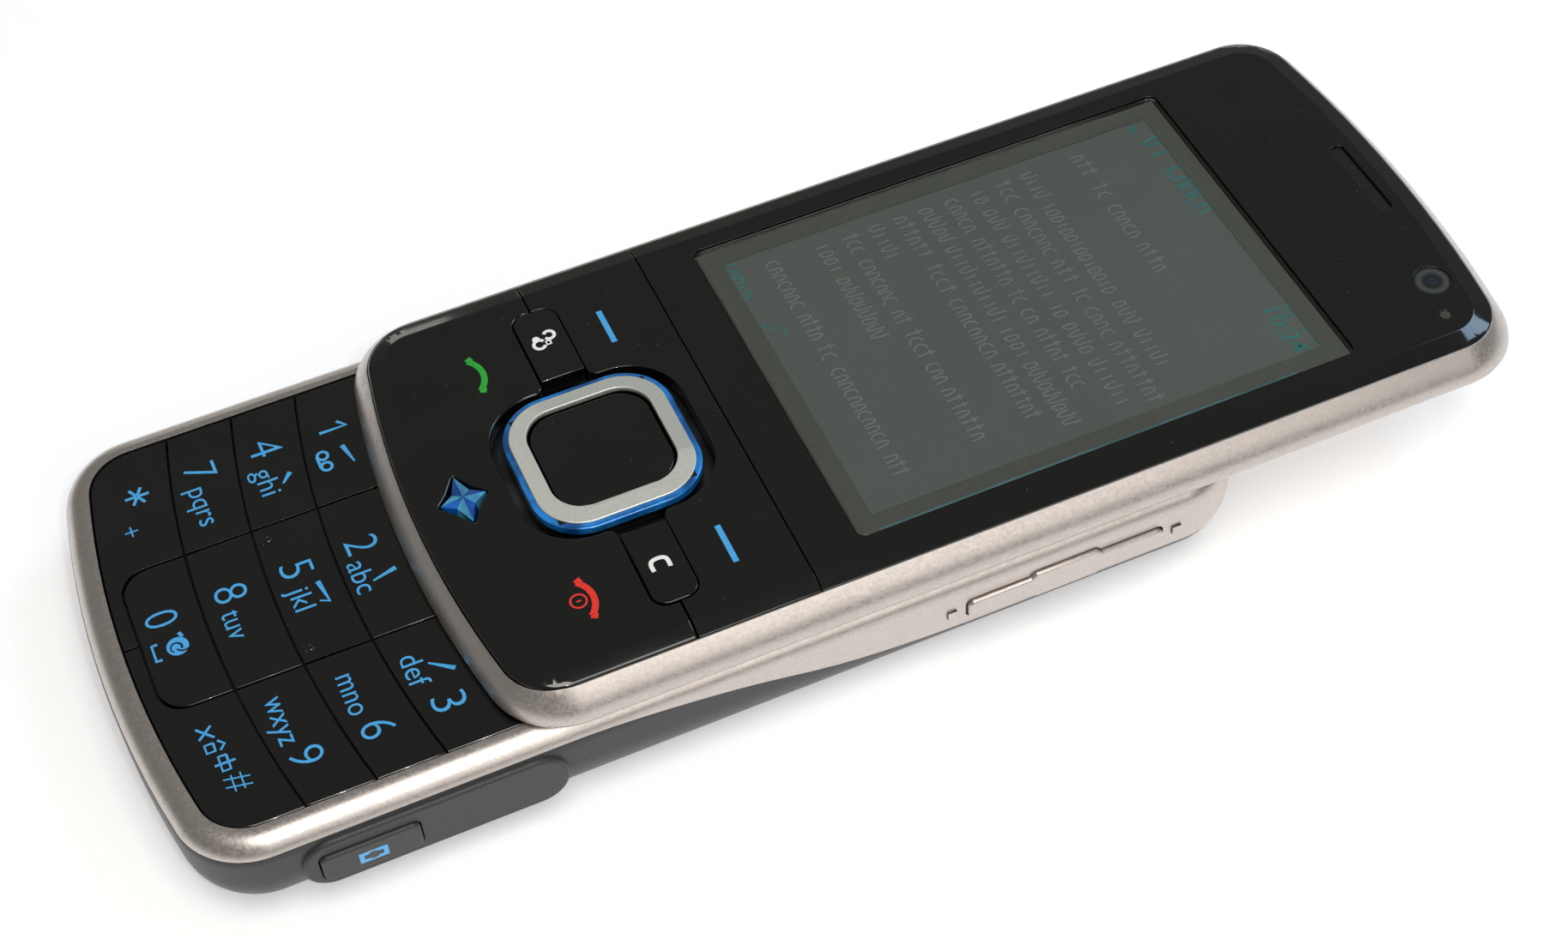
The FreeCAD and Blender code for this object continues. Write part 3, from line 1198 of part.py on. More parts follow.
def moving_slide_plate():
    """Steel plate under the upper half whose runners go in the rails."""
    foot = rail_half - dim("rail_sheet") - play * 2
    leg = foot - dim("foot_width")
    foot_z = (rail_floor + play, lip_low - play)
    points = mirrored([(carriage_half, carriage_z[1]), (carriage_half, carriage_z[0]),
                       (leg + dim("leg_thick"), carriage_z[0]),
                       (leg + dim("leg_thick"), foot_z[1]), (foot, foot_z[1]),
                       (foot, foot_z[0]), (leg, foot_z[0]), (leg, carriage_z[0])])
    runners = channel("runner_profile", points, carriage_y)
    pin = round_hole("moving_pin", *spring_pins[1], dim("pin_radius"),
                     (rail_floor + play, carriage_z[1]))
    holes = [round_hole("carriage_hole_%d" % i, x, y, dim("screw_radius") + seam / 2,
                        (carriage_z[0] - wall, carriage_z[1] + wall))
             for i, (x, y) in enumerate(slide_screw_places)]
    slot = flex_opening("carriage_flex_slot", flex_slot,
                        (carriage_z[0] - wall, carriage_z[1] + wall))
    return node(cut("moving_slide_plate", fuse("runners_with_pin", [runners, pin]),
                    holes + [slot]))


def slide_spring():
    """Spring that throws the upper half open or shut: one turn with an eye at each arm."""
    wire = dim("spring_wire")
    zs = span((rail_floor + carriage_z[0]) / 2, wire)

    def ring(label, x, y, radius):
        disc = round_hole(label + "_disc", x, y, radius + wire, zs)
        hole = round_hole(label + "_hole", x, y, radius - wire, (zs[0] - wire, zs[1] + wire))
        return cut(label, disc, [hole])

    parts = [ring("spring_turn", 0, spring_y, dim("spring_radius"))]
    for i, (x, y) in enumerate(spring_pins):
        parts.append(ring("spring_eye_%d" % i, x, y, spring_eye))
        # the arm runs straight from the side of the turn to the near side of its eye
        reach = (y, spring_y) if i == 0 else (spring_y, y)
        arm_x = dim("spring_radius") * (-1 if i == 0 else 1)
        parts.append(box("spring_arm_%d" % i, span(arm_x, wire), reach, zs))
    return node(fuse("slide_spring", parts))


def flex_cable():
    """Ribbon that leaves the deck, turns back over itself and enters the upper half."""
    thick = dim("flex_thick")
    low = rail_floor + play
    high = carriage_z[0] - play - thick
    inside = slider_bottom + play
    turn = flex_slot + dim("flex_loop")
    body = new_body("flex_cable")
    drawn = new_sketch(body, "flex_route", role="YZ_Plane", offset=-dim("flex_width") / 2)
    polygon(drawn, [(flex_base - thick, board[1]), (flex_base, board[1]), (flex_base, low),
                    (turn, low), (turn, high + thick), (flex_slot, high + thick),
                    (flex_slot, inside + thick), (flex_tail, inside + thick),
                    (flex_tail, slider_floor), (flex_tail - thick, slider_floor),
                    (flex_tail - thick, inside), (flex_slot - thick, inside),
                    (flex_slot - thick, high), (turn - thick, high), (turn - thick, low + thick),
                    (flex_base - thick, low + thick)])
    pad(body, drawn, "flex_pad", dim("flex_width"))
    return node(body)


# ---------------------------------------------------------------- shells of the upper half

nav_y = slider_low + dim("nav_rise")
glass_y = slider_low + dim("nav_rise") + dim("nav_half") + dim("glass_rise")
window_x = span(mm(0), half_width - dim("window_side"))
window_y = (slider_low + dim("window_low"), slider_high - dim("window_high"))
window_z = (face_top - dim("window_sink") - dim("window_thick"), face_top - dim("window_sink"))
pill_y = span(nav_y, dim("pill_height") / 2)
pill_end = half_width - dim("pill_side")
moat_half = dim("nav_half") + dim("moat")
star_y = slider_low + dim("star_rise")
lens_y = (slider_high - dim("rim_width") - dim("ledge") - dim("front_camera_gap")
          - dim("front_camera_radius"))
lens_place = (half_width - dim("front_camera_side"), lens_y)
sensor_place = (half_width - dim("sensor_side"), slider_high - dim("sensor_drop"))
earpiece_y = slider_high - dim("earpiece_drop")
through = (face_bottom - wall, face_top + wall)
RIM_STEPS = 5       # facets of the rim's swelling side
RIM_CURVE = 1.6     # how much that side keeps its width before it draws in


def stack(body, label, ends, sections):
    """A ruled loft through outlines between two ends, given as height and inset."""
    drawn = []
    for i, (level, inset) in enumerate(sections):
        drawn.append(new_sketch(body, "%s_section_%d" % (label, i), offset=level))
        outline(drawn[-1], ends[0], ends[1], inset)
        drawn[-1].Visibility = False
    loft = body.newObject("PartDesign::AdditiveLoft", label)
    loft.Profile = drawn[0]
    loft.Sections = drawn[1:]
    loft.Ruled = True
    return loft


def slider_frame():
    """Silver frame of the upper half: swelling sides, a ledge for the face and a floor."""
    widest = slider_bottom + dim("rim_widest")
    rise = face_edge - widest
    full = dim("rim_width") - dim("rim_land")
    # above its widest level the side draws in ever faster
    shares = [i / RIM_STEPS for i in range(RIM_STEPS + 1)]
    levels = [(widest + rise * share, full * share ** RIM_CURVE) for share in shares]
    body = new_body("slider_frame_shell")
    stack(body, "rim", slider_ends, [(slider_bottom, dim("rim_under"))] + levels)
    seat = new_sketch(body, "face_seat", offset=face_edge)
    outline(seat, face_ends[0], face_ends[1], dim("rim_width"))
    pocket(body, seat, "face_seat_cut", face_edge - face_bottom)
    room = new_sketch(body, "inner_room", offset=face_edge)
    outline(room, slider_low, slider_high, dim("rim_width") + dim("ledge"))
    pocket(body, room, "inner_room_cut", face_edge - slider_floor)
    # the ledge is lower under the keys, which need room to move
    sink, _ = half_blank("key_ledge_block", face_ends, dim("rim_width"),
                         (key_ledge, face_edge + wall))
    key_side = box("key_side", (-far, far), (-far, glass_y), (0, tall))
    room = dim("flex_room")
    flex_room = box("floor_flex_slot", span(mm(0), dim("flex_width") / 2 + room),
                    (flex_tail - dim("flex_thick") - room, flex_slot + room),
                    (slider_bottom - wall, slider_floor + seam))
    holes = [round_hole("frame_hole_%d" % i, x, y, dim("screw_radius") + seam / 2,
                        (slider_bottom - wall, slider_floor + seam))
             for i, (x, y) in enumerate(slide_screw_places)]
    return node(cut("slider_frame", body,
                    [common("key_ledge_room", sink, key_side), flex_room] + holes))


def face_blank(label, gap):
    """A plate over the whole face, with its sloping edge; gap draws it in."""
    inset = face_inset + gap
    body, _ = half_blank(label, face_ends, inset, (face_bottom, face_edge))
    stack(body, label + "_slope", face_ends,
          [(face_edge, inset), (face_top, inset + dim("face_bevel"))])
    return body


def front_plate():
    """Glossy plate round the display, from the key seam to the earpiece end."""
    keys = box("front_key_side", (-far, far), (-far, glass_y + dim("plate_gap") / 2), (0, tall))
    opening = rounded_block("window_opening", (window_x[0] - seam, window_x[1] + seam),
                            (window_y[0] - seam, window_y[1] + seam), through,
                            dim("window_corner"))
    slot = rounded_block("earpiece_opening", span(mm(0), dim("earpiece_length") / 2),
                         span(earpiece_y, dim("earpiece_width") / 2), through,
                         dim("earpiece_width") / 2 - seam)
    lens = round_hole("front_lens_hole", *lens_place, dim("front_camera_radius") + seam / 2,
                      through)
    eye = round_hole("sensor_hole", *sensor_place, dim("sensor_radius") + seam / 2, through)
    return node(cut("front_plate", face_blank("front_blank", mm(0)),
                    [keys, opening, slot, lens, eye]))


def display():
    """Window over the display, and the display module behind it."""
    node(rounded_block("display_window", window_x, window_y, window_z,
                       dim("window_corner") - seam))
    margin = dim("display_margin")
    high = face_bottom - seam
    block = box("display_block", (window_x[0] - margin, window_x[1] + margin),
                (window_y[0] - margin, window_y[1] + margin),
                (slider_floor + dim("display_lift"), high))
    raised = box("display_raised", (window_x[0] + margin, window_x[1] - margin),
                 (window_y[0] + margin, window_y[1] - margin), (high - seam, window_z[0] - seam))
    return node(fuse("display_module", [block, raised]))


# ---------------------------------------------------------------- keys of the upper half

def nav_block(label, half, corner, zs):
    """A square block with rounded corners round the navigation key's middle."""
    return rounded_block(label, span(mm(0), half), span(nav_y, half), zs, corner)


def nav_ring_block(label, half, corner, zs):
    """The same with the navigation ring's opening through it."""
    outer = nav_block(label + "_outer", half, corner, zs)
    hole = nav_block(label + "_opening", dim("nav_inner"), dim("nav_inner_corner"),
                     (zs[0] - wall, zs[1] + wall))
    return node(cut(label, outer, [hole]))


def moat_block(label, grow=0):
    half = moat_half + grow
    return rounded_block(label, span(mm(0), half), span(nav_y, half + dim("moat_long")), through,
                         dim("nav_corner") + dim("moat") + grow)


def pill_block(label, side, inner, grow, zs):
    """A pill's outline from its outer end to inner; side is -1 or 1."""
    outer = pill_end + grow
    xs = (inner, outer) if side > 0 else (-outer, -inner)
    return rounded_block(label, xs, (pill_y[0] - grow, pill_y[1] + grow), zs,
                         dim("pill_corner") + grow)


def star_points(share=1.0, grow=0):
    """A four-pointed star round the star key's middle."""
    wide = dim("star_wide") * share + mm(grow) * 2
    long = dim("star_tall") * share + mm(grow) * 2
    waist = dim("star_waist") * share + grow
    return [(wide, star_y), (waist, star_y + waist), (mm(0), star_y + long),
            (-waist, star_y + waist), (-wide, star_y), (-waist, star_y - waist),
            (mm(0), star_y - long), (waist, star_y - waist)]


def pusher(label, x, y, radius=None):
    """A pusher from a key of the upper half down to the level of the key ledge."""
    return round_hole(label, x, y, radius or dim("pusher_radius"),
                      (key_ledge, face_bottom + seam))


def face_key_plates():
    """The soft key plate above the pills, and the call and end plate below them."""
    gap = dim("plate_gap")
    pusher_x = (moat_half + half_width - dim("rim_width")) / 2
    halves = (("soft_key_plate", (nav_y + gap / 2, glass_y - gap / 2), (pill_y[1] + glass_y) / 2),
              ("call_end_plate", (-far, nav_y - gap / 2), nav_y - dim("call_pusher")))
    for label, ys, pusher_y in halves:
        region = box(label + "_region", (-far, far), ys, (0, tall))
        plate = common(label + "_solid", face_blank(label + "_blank", seam / 2), region)
        tools = [moat_block(label + "_moat")]
        tools += [pill_block("%s_pill_%d" % (label, side + 1), side,
                             moat_half - dim("moat") - dim("pill_corner"), gap, through)
                  for side in (-1, 1)]
        if label == "call_end_plate":
            tools.append(prism(label + "_star", star_points(grow=gap), through))
        feet = [pusher("%s_pusher_%d" % (label, i), x, pusher_y)
                for i, x in enumerate((-pusher_x, pusher_x))]
        shoulder_y = (pill_y[1] + gap if label == "soft_key_plate" else pill_y[0] - gap).value
        shoulders = [(side * moat_half.value, shoulder_y) for side in (-1, 1)]
        top = soften_uprights(label + "_top", cut(label + "_sharp", plate, tools), shoulders,
                              dim("shoulder_round"))
        node(fuse(label, [top] + feet))


def pill_keys():
    """Two pill keys whose inner ends follow the moat at a distance."""
    for label, side in (("menu_key", -1), ("clear_key", 1)):
        cap = pill_block(label + "_cap", side, moat_half - dim("moat"), 0,
                         (face_bottom, face_top + dim("pill_proud")))
        top = cut(label + "_top", cap, [moat_block(label + "_moat", dim("pill_back"))])
        node(fuse(label, [top, pusher(label + "_pusher", (moat_half + pill_end) / 2 * side,
                                      nav_y)]))


def navigation_keys():
    """Silver ring on a blue skirt, the pad it rocks on, and the key in its middle."""
    ring_top = face_top + dim("nav_proud")
    ring_low = ring_top - dim("ring_thick")
    tilt = dim("nav_tilt_room")
    pad_top = face_bottom - tilt / 2
    nav_ring_block("nav_ring", dim("nav_half"), dim("nav_corner"), (ring_low, ring_top))
    nav_ring_block("nav_skirt", dim("nav_half") + dim("skirt_out"),
                   dim("nav_corner") + dim("skirt_out"), (pad_top + tilt, ring_low))
    nav_ring_block("nav_pad", dim("nav_half"), dim("nav_corner"), (key_ledge, pad_top))
    small = dim("nav_inner") - dim("centre_gap")
    cap = nav_block("centre_cap", small, dim("nav_inner_corner") - dim("centre_gap") / 2,
                    (face_bottom, face_top + dim("centre_proud")))
    node(fuse("centre_key", [cap, pusher("centre_pusher", 0, nav_y)]))


def star_key():
    """Star key, pitched up to its middle."""
    body = new_body("star_roof")
    sections = []
    tip = dim("star_tip") / dim("star_wide")
    for i, (level, share) in enumerate(((face_top, mm(1)),
                                        (face_top + dim("star_proud"), tip))):
        sections.append(new_sketch(body, "star_section_%d" % i, offset=level))
        polygon(sections[-1], star_points(share))
    roof = body.newObject("PartDesign::AdditiveLoft", "star_slopes")
    roof.Profile = sections[0]
    roof.Sections = sections[1:]
    roof.Ruled = True
    stem = prism("star_stem", star_points(), (face_bottom, face_top))
    node(fuse("star_key", [stem, body, pusher("star_pusher", 0, star_y, dim("star_waist"))]))


# ---------------------------------------------------------------- inside of the upper half

def upper_board():
    """Key board of the upper half with its dome sheet."""
    board_z = (slider_floor, key_ledge - dim("key_board_drop") - dim("film"))
    inset = dim("rim_width") + dim("ledge") + dim("key_board_gap")
    ys = (-far, window_y[0] - dim("key_board_end"))
    for label, zs in (("upper_board", board_z),
                      ("upper_dome_sheet", (board_z[1], board_z[1] + dim("film")))):
        whole, _ = half_blank(label + "_whole", slider_ends, inset, zs)
        node(common(label, whole, box(label + "_side", (-far, far), ys, (0, tall))))


def earpiece_end():
    """Earpiece and its mesh, front camera and light sensor."""
    node(rounded_block("earpiece", span(mm(0), dim("earpiece_long") / 2),
                       (earpiece_y + dim("earpiece_width") - dim("earpiece_deep"),
                        earpiece_y + dim("earpiece_width")),
                       (slider_floor, face_bottom - seam), dim("earpiece_width")))
    node(rounded_block("earpiece_mesh",
                       span(mm(0), (dim("earpiece_length") - seam) / 2),
                       span(earpiece_y, (dim("earpiece_width") - seam) / 2),
                       (face_bottom - seam, face_top - dim("mesh_sink")),
                       dim("earpiece_width") / 2 - seam * 2))
    for label, place, radius in (("front_camera", lens_place, dim("front_camera_radius")),
                                 ("light_sensor", sensor_place, dim("sensor_radius"))):
        foot = box(label + "_foot", span(place[0], radius), span(place[1], radius),
                   (slider_floor, face_bottom))
        eye = round_hole(label + "_eye", *place, radius, (face_bottom, face_top - seam))
        node(fuse(label, [foot, eye]))


# ---------------------------------------------------------------- assembly and files

lower_outside = lower_block()
back_housing(lower_outside)
base_frame(lower_outside)
battery_cover(lower_outside)
number_keys()
side_keys()
side_key_strip()
lower_boards()
battery_and_cards()
lower_sockets()
lower_far_end()
vibrator()
screw_set("case_screws", boss_places, (bay[0] - dim("case_head"), bay[0]), deck[0] - seam)
fixed_rail_plate()
moving_slide_plate()
screw_set("slide_screws", slide_screw_places, (carriage_z[0] - dim("slide_head"), carriage_z[0]),
          slider_floor - seam)
slide_spring()
flex_cable()
slider_frame()
front_plate()
display()
face_key_plates()
pill_keys()
navigation_keys()
star_key()
upper_board()
earpiece_end()
doc.recompute()

for item in doc.Objects:
    if "Invalid" in item.State or "Error" in item.State:
        raise RuntimeError("%s failed: %s" % (item.Label, item.State))
for item in nodes:
    if item.Shape.isNull() or not item.Shape.isValid():
        raise RuntimeError("%s has no sound shape" % item.Label)

os.makedirs("parts", exist_ok=True)
for item in nodes:
    item.Shape.exportStep("parts/%s.step" % item.Label)
print("%d nodes written" % len(nodes))
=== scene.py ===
"""Finishes the slider phone: softened shells, key caps, printed marks, coats and a table."""

import functools
import math

import bmesh
import bpy
from bpy.props import FloatProperty, FloatVectorProperty, IntProperty, PointerProperty
from mathutils import Matrix, Vector


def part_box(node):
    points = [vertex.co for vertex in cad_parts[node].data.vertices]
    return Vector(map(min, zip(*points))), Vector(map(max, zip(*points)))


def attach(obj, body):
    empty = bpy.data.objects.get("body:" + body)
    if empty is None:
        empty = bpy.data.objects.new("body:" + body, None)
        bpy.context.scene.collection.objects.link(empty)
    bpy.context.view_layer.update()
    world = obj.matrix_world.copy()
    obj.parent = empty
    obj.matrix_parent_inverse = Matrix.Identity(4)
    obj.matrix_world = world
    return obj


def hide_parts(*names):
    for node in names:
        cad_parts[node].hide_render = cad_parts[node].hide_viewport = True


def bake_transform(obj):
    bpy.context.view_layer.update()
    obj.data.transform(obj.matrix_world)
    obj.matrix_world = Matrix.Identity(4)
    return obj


bl_info = {
    "name": "Slider Phone Finisher",
    "version": (1, 0, 0),
    "blender": (4, 5, 0),
    "location": "3D View > Sidebar > Phone",
    "description": "Dresses a slider phone with its coats, key caps and printed marks",
    "category": "Object",
}

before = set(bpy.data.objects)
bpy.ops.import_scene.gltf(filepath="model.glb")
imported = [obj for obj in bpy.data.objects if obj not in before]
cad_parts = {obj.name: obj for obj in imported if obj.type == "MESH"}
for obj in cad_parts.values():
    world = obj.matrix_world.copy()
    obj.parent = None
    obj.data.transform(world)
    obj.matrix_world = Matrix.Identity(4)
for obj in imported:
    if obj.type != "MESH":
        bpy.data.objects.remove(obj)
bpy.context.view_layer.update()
MM = 0.001


def linear(code):
    """An sRGB hex colour as the three linear numbers that shaders take."""
    parts = [int(code[i:i + 2], 16) / 255 for i in (0, 2, 4)]
    return tuple(c / 12.92 if c <= 0.04045 else ((c + 0.055) / 1.055) ** 2.4 for c in parts)


# ------------------------------------------------ sizes and colours a user may change

def length(name, description, default):
    """A distance property, in metres."""
    return FloatProperty(name=name, description=description, default=default, min=0,
                         unit="LENGTH", subtype="DISTANCE", precision=5)


def colour(name, description, code):
    """A colour property with its default from sRGB hex."""
    return FloatVectorProperty(name=name, description=description, default=linear(code),
                               min=0, max=1, size=3, subtype="COLOR")


def power(name, description, default):
    """A lamp's power property, in watts."""
    return FloatProperty(name=name, description=description, default=default, min=0,
                         unit="POWER")


class PhoneSizes(bpy.types.PropertyGroup):
    """Small sizes of the finish."""
    shell_edge: length("Shell edge", "Rounding of the painted shells' edges", 0.22 * MM)
    face_edge: length("Face edge", "Rounding of the gloss keys' edges", 0.12 * MM)
    face_roll: length("Face roll-off", "Rounding of the gloss face towards its rim", 0.75 * MM)
    key_edge: length("Key edge", "Rounding of the number keys' edges", 0.07 * MM)
    ring_edge: length("Ring edge", "Rounding of the navigation ring's edges", 0.14 * MM)
    print_thick: length("Print thickness", "Thickness of the printed ink", 0.012 * MM)
    letter_height: length("Letter height", "Height of a small x on the keys", 1.25 * MM)
    print_stroke: length("Print stroke", "Stroke width of the drawn marks", 0.3 * MM)
    edge_steps: IntProperty(name="Edge steps", description="Faces across a rounded edge",
                            default=3, min=1, max=6)


class PhoneColours(bpy.types.PropertyGroup):
    """Colours of the coats and inks."""
    silver: colour("Silver", "Champagne silver paint of the shells", "C8BFB8")
    shell: colour("Dark shell", "Soft-touch coat of the back", "313132")
    face: colour("Face", "Polished black of the face", "0B0C0A")
    key: colour("Keys", "Black of the number keys", "0A0B0A")
    key_ink: colour("Key ink", "Light blue print on the number keys", "49A4DE")
    white_ink: colour("White ink", "White print on the face", "F0F0EC")
    call_ink: colour("Call ink", "Green print of the call side", "2CA336")
    end_ink: colour("End ink", "Red print of the end side", "E5352A")
    ring: colour("Ring", "Plated navigation ring", "F0F0E6")
    skirt: colour("Skirt", "Blue light guide round the ring", "1A6FC4")
    star: colour("Star", "Blue star key", "2A8CE0")
    screen: colour("Screen", "Unlit display", "929593")


class PhoneStudio(bpy.types.PropertyGroup):
    """Table, lights and camera."""
    lens: FloatProperty(name="Focal length", description="Lens in millimetres on a 36 mm sensor",
                        default=60.23, min=10, max=300, unit="CAMERA")
    key_power: power("Key light", "Power of the overhead softbox", 3.4)
    right_power: power("Right light", "Power of the right softbox", 1.3)
    fill_power: power("Side light", "Power of the low side softbox", 0.12)
    glint_power: power("Glint light", "Power of the small lamp", 0.14)
    sky: FloatProperty(name="Room light", description="Strength of the even room light",
                       default=0.2, min=0, max=5)
    sky_power: power("Window light", "Power of the pale blue window", 1.5)


# ------------------------------------------------ shader nodes

def per_mm(spacing):
    """Pattern scale for features that are so many millimetres apart, on metre coordinates."""
    return 1000.0 / spacing


def rgba(tone, share=1.0):
    """A colour with its alpha, scaled darker or lighter."""
    return tuple(min(1.0, c * share) for c in tone[:3]) + (1.0,)


def tint(code):
    """An sRGB hex colour with its alpha."""
    return rgba(linear(code))


class Coat:
    """A material with one shader, and the patterns on object coordinates that feed it."""

    def __init__(self, name, sockets):
        self.material = bpy.data.materials.new(name)
        self.material.use_nodes = True
        self.tree = self.material.node_tree
        self.tree.nodes.clear()
        self.shader = self.add("ShaderNodeBsdfPrincipled", sockets)
        self.add("ShaderNodeOutputMaterial", {"Surface": self.shader.outputs[0]})
        self.place = self.add("ShaderNodeTexCoord").outputs["Object"]

    def add(self, kind, sockets=(), **settings):
        """Adds one node. A socket is given a value, or another node's output to be joined to."""
        made = self.tree.nodes.new(kind)
        for name, value in settings.items():
            setattr(made, name, value)
        for name, value in dict(sockets).items():
            if isinstance(value, bpy.types.NodeSocket):
                self.tree.links.new(value, made.inputs[name])
            else:
                made.inputs[name].default_value = value
        return made

    def feed(self, socket, value):
        """Joins an output to a socket of the shader."""
        self.tree.links.new(value, self.shader.inputs[socket])

    def noise(self, spacing, detail=2, place=None):
        """Clouds so many millimetres apart."""
        return self.add("ShaderNodeTexNoise", {
            "Vector": self.place if place is None else place, "Scale": per_mm(spacing),
            "Detail": detail}).outputs[0]

    def cells(self, spacing):
        """The outputs of a pattern of cells so many millimetres apart."""
        return self.add("ShaderNodeTexVoronoi", {
            "Vector": self.place, "Scale": per_mm(spacing)}).outputs

    def bricks(self, spacing, first, second, joint, joint_size, running=False):
        """The outputs of a brick pattern: bricks in a running bond, or else a square grid."""
        shape = {} if running else {"Brick Width": 1.0, "Row Height": 1.0}
        return self.add("ShaderNodeTexBrick", {
            "Vector": self.place, "Scale": per_mm(spacing), "Color1": first, "Color2": second,
            "Mortar": joint, "Mortar Size": joint_size, **shape},
            offset=0.5 if running else 0.0).outputs

    def number(self, operation, first, second):
        """One sum on two numbers."""
        return self.add("ShaderNodeMath", {0: first, 1: second}, operation=operation).outputs[0]

    def vector(self, operation, first, *second):
        """The outputs of one sum on one or two vectors."""
        sockets = dict(enumerate((first,) + second))
        return self.add("ShaderNodeVectorMath", sockets, operation=operation).outputs

    def away_from(self, middle):
        """How far each point lies from a middle in X and in Y, and its height."""
        centred = self.vector("SUBTRACT", self.place, (middle[0], middle[1], 0))[0]
        return self.add("ShaderNodeSeparateXYZ", {0: self.vector("ABSOLUTE", centred)[0]}).outputs

    def mix(self, factor, low, high):
        """The colour between two colours that a factor picks."""
        return self.add("ShaderNodeMix", {"Factor": factor, 6: low, 7: high},
                        data_type="RGBA").outputs[2]

    def stain(self, factor, low, high, start=0.3, end=0.7):
        """Lets the base colour run from low to high as factor runs from start to end."""
        share = self.add("ShaderNodeMapRange", {
            "Value": factor, "From Min": start, "From Max": end})
        mixed = self.mix(share.outputs[0], low, high)
        self.feed("Base Color", mixed)
        return mixed

    def shade(self, factor, tone, dark, light, *between):
        """Lets the base colour run from a darker to a lighter share of one tone."""
        return self.stain(factor, rgba(tone, dark), rgba(tone, light), *between)

    def polish(self, factor, low, high):
        """Lets the roughness run from low to high over a pattern."""
        share = self.add("ShaderNodeMapRange", {
            "Value": factor, "From Min": 0.3, "From Max": 0.7, "To Min": low, "To Max": high})
        self.feed("Roughness", share.outputs[0])

    def relief(self, factor, depth_mm, strength=1.0):
        """Raises the surface by a pattern, depth_mm from its lowest to its highest."""
        self.feed("Normal", self.add("ShaderNodeBump", {
            "Height": factor, "Distance": depth_mm * MM, "Strength": strength}).outputs[0])


def silver_paint(tone):
    """Champagne metallic paint on moulded ABS: fine flakes sparkle in a satin clear coat."""
    coat = Coat("metallic_paint_on_abs", {
        "Metallic": 0.88, "Roughness": 0.36, "Coat Weight": 0.25, "Coat Roughness": 0.2})
    # real flakes are about 0.03 mm; drawn at 0.2 mm so that they still show
    sparkle = coat.add("ShaderNodeSeparateColor", {"Color": coat.cells(0.2)["Color"]}).outputs
    both = coat.add("ShaderNodeMix", {"Factor": 0.35, 2: sparkle[0], 3: coat.noise(5, 3)})
    coat.shade(both.outputs[0], tone, 0.92, 1.05, 0.1, 0.9)
    coat.polish(sparkle[1], 0.31, 0.41)
    coat.relief(sparkle[0], 0.004, 0.4)
    return coat.material


def soft_touch_coat(tone):
    """Soft-touch lacquer on ABS: warm dark grey, a fine leather-dry grain and broad sheen."""
    coat = Coat("soft_touch_lacquer_on_abs", {
        "Roughness": 0.5, "Specular IOR Level": 0.4, "Sheen Weight": 0.06,
        "Sheen Roughness": 0.5, "Coat Weight": 0.12, "Coat Roughness": 0.35})
    grain = coat.noise(0.22, 4)
    coat.shade(coat.noise(14), tone, 0.9, 1.1)
    coat.polish(grain, 0.42, 0.58)
    coat.relief(grain, 0.02, 0.6)
    return coat.material


def gloss_lacquer(name, tone, rough, dust):
    """Piano-black lacquered polycarbonate: deep, wet reflections, and a little dust on it."""
    coat = Coat(name, {"IOR": 1.5, "Coat Weight": 0.6, "Coat Roughness": 0.05, "Coat IOR": 1.5})
    haze = coat.noise(7, 5)
    speck = coat.number("LESS_THAN", coat.cells(1.9)["Distance"], dust)
    base = coat.shade(haze, tone, 0.85, 1.25)
    coat.feed("Base Color", coat.mix(coat.number("MULTIPLY", speck, 0.35), base, tint("8A8C88")))
    coat.polish(haze, rough, rough + 0.05)
    coat.relief(coat.noise(22, 1), 0.02, 0.5)
    return coat.material


def plated_metal(name, tone, rough, line_mm=0.15, stretch=0.06, bare=1.0):
    """Satin-plated or brushed metal: fine grain, drawn out to lines where it is brushed."""
    coat = Coat(name, {"Metallic": bare, "Roughness": rough})
    along = coat.add("ShaderNodeMapping", {"Vector": coat.place, "Scale": (1.0, stretch, 1.0)})
    lines = coat.noise(line_mm, 3, along.outputs[0])
    coat.shade(lines, tone, 0.88, 1.05)
    coat.polish(lines, rough * 0.8, rough * 1.3)
    coat.relief(lines, 0.002, 0.4)
    return coat.material


def tinted_acrylic(name, tone, clear, rough=0.08):
    """Cast acrylic tinted in the mass: light goes in, spreads, and glows at the edges."""
    coat = Coat(name, {"IOR": 1.49, "Transmission Weight": clear, "Coat Weight": 0.5,
                       "Coat Roughness": 0.04})
    swirl = coat.noise(5)
    coat.shade(swirl, tone, 0.8, 1.35)
    coat.polish(swirl, rough, rough + 0.08)
    coat.relief(swirl, 0.02, 0.3)
    return coat.material


def masked_light_guide(name, tone):
    """Blue acrylic light guide: glassy, with painted light in its bright streaks, and painted
    shade in black inside the ring and below its lit band."""
    coat = Coat(name, {"IOR": 1.49, "Metallic": 0.35, "Coat Weight": 1.0, "Coat Roughness": 0.03})
    # painted light: the streaks lift the blue up to 2.2 times its tone, standing in for light
    # carried in the acrylic
    streak = coat.noise(2.6)
    painted_glow = coat.shade(streak, tone, 0.55, 2.2, 0.35, 0.68)
    coat.polish(streak, 0.12, 0.26)
    low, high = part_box("nav_skirt")
    across, along, up = coat.away_from((low + high) / 2)
    shade_reach, lit_band = 6.5 * MM, 0.75 * MM
    outside = coat.number("GREATER_THAN", coat.number("MAXIMUM", across, along), shade_reach)
    raised = coat.number("GREATER_THAN", up, high.z - lit_band)
    lit = coat.number("MULTIPLY", outside, raised)
    # painted shade: black where the skirt sits inside the ring and down in the moat, below its
    # lit band
    coat.feed("Base Color", coat.mix(lit, tint("0A0B0B"), painted_glow))
    return coat.material


def foiled_acrylic(name, tone):
    """Cut acrylic over bright foil: each facet throws back another part of the room."""
    coat = Coat(name, {
        "Metallic": 0.55, "Coat Weight": 1.0, "Coat Roughness": 0.03, "Coat IOR": 1.49})
    depth = coat.noise(1.6)
    coat.shade(depth, tone, 0.7, 1.4)
    coat.polish(depth, 0.16, 0.3)
    return coat.material


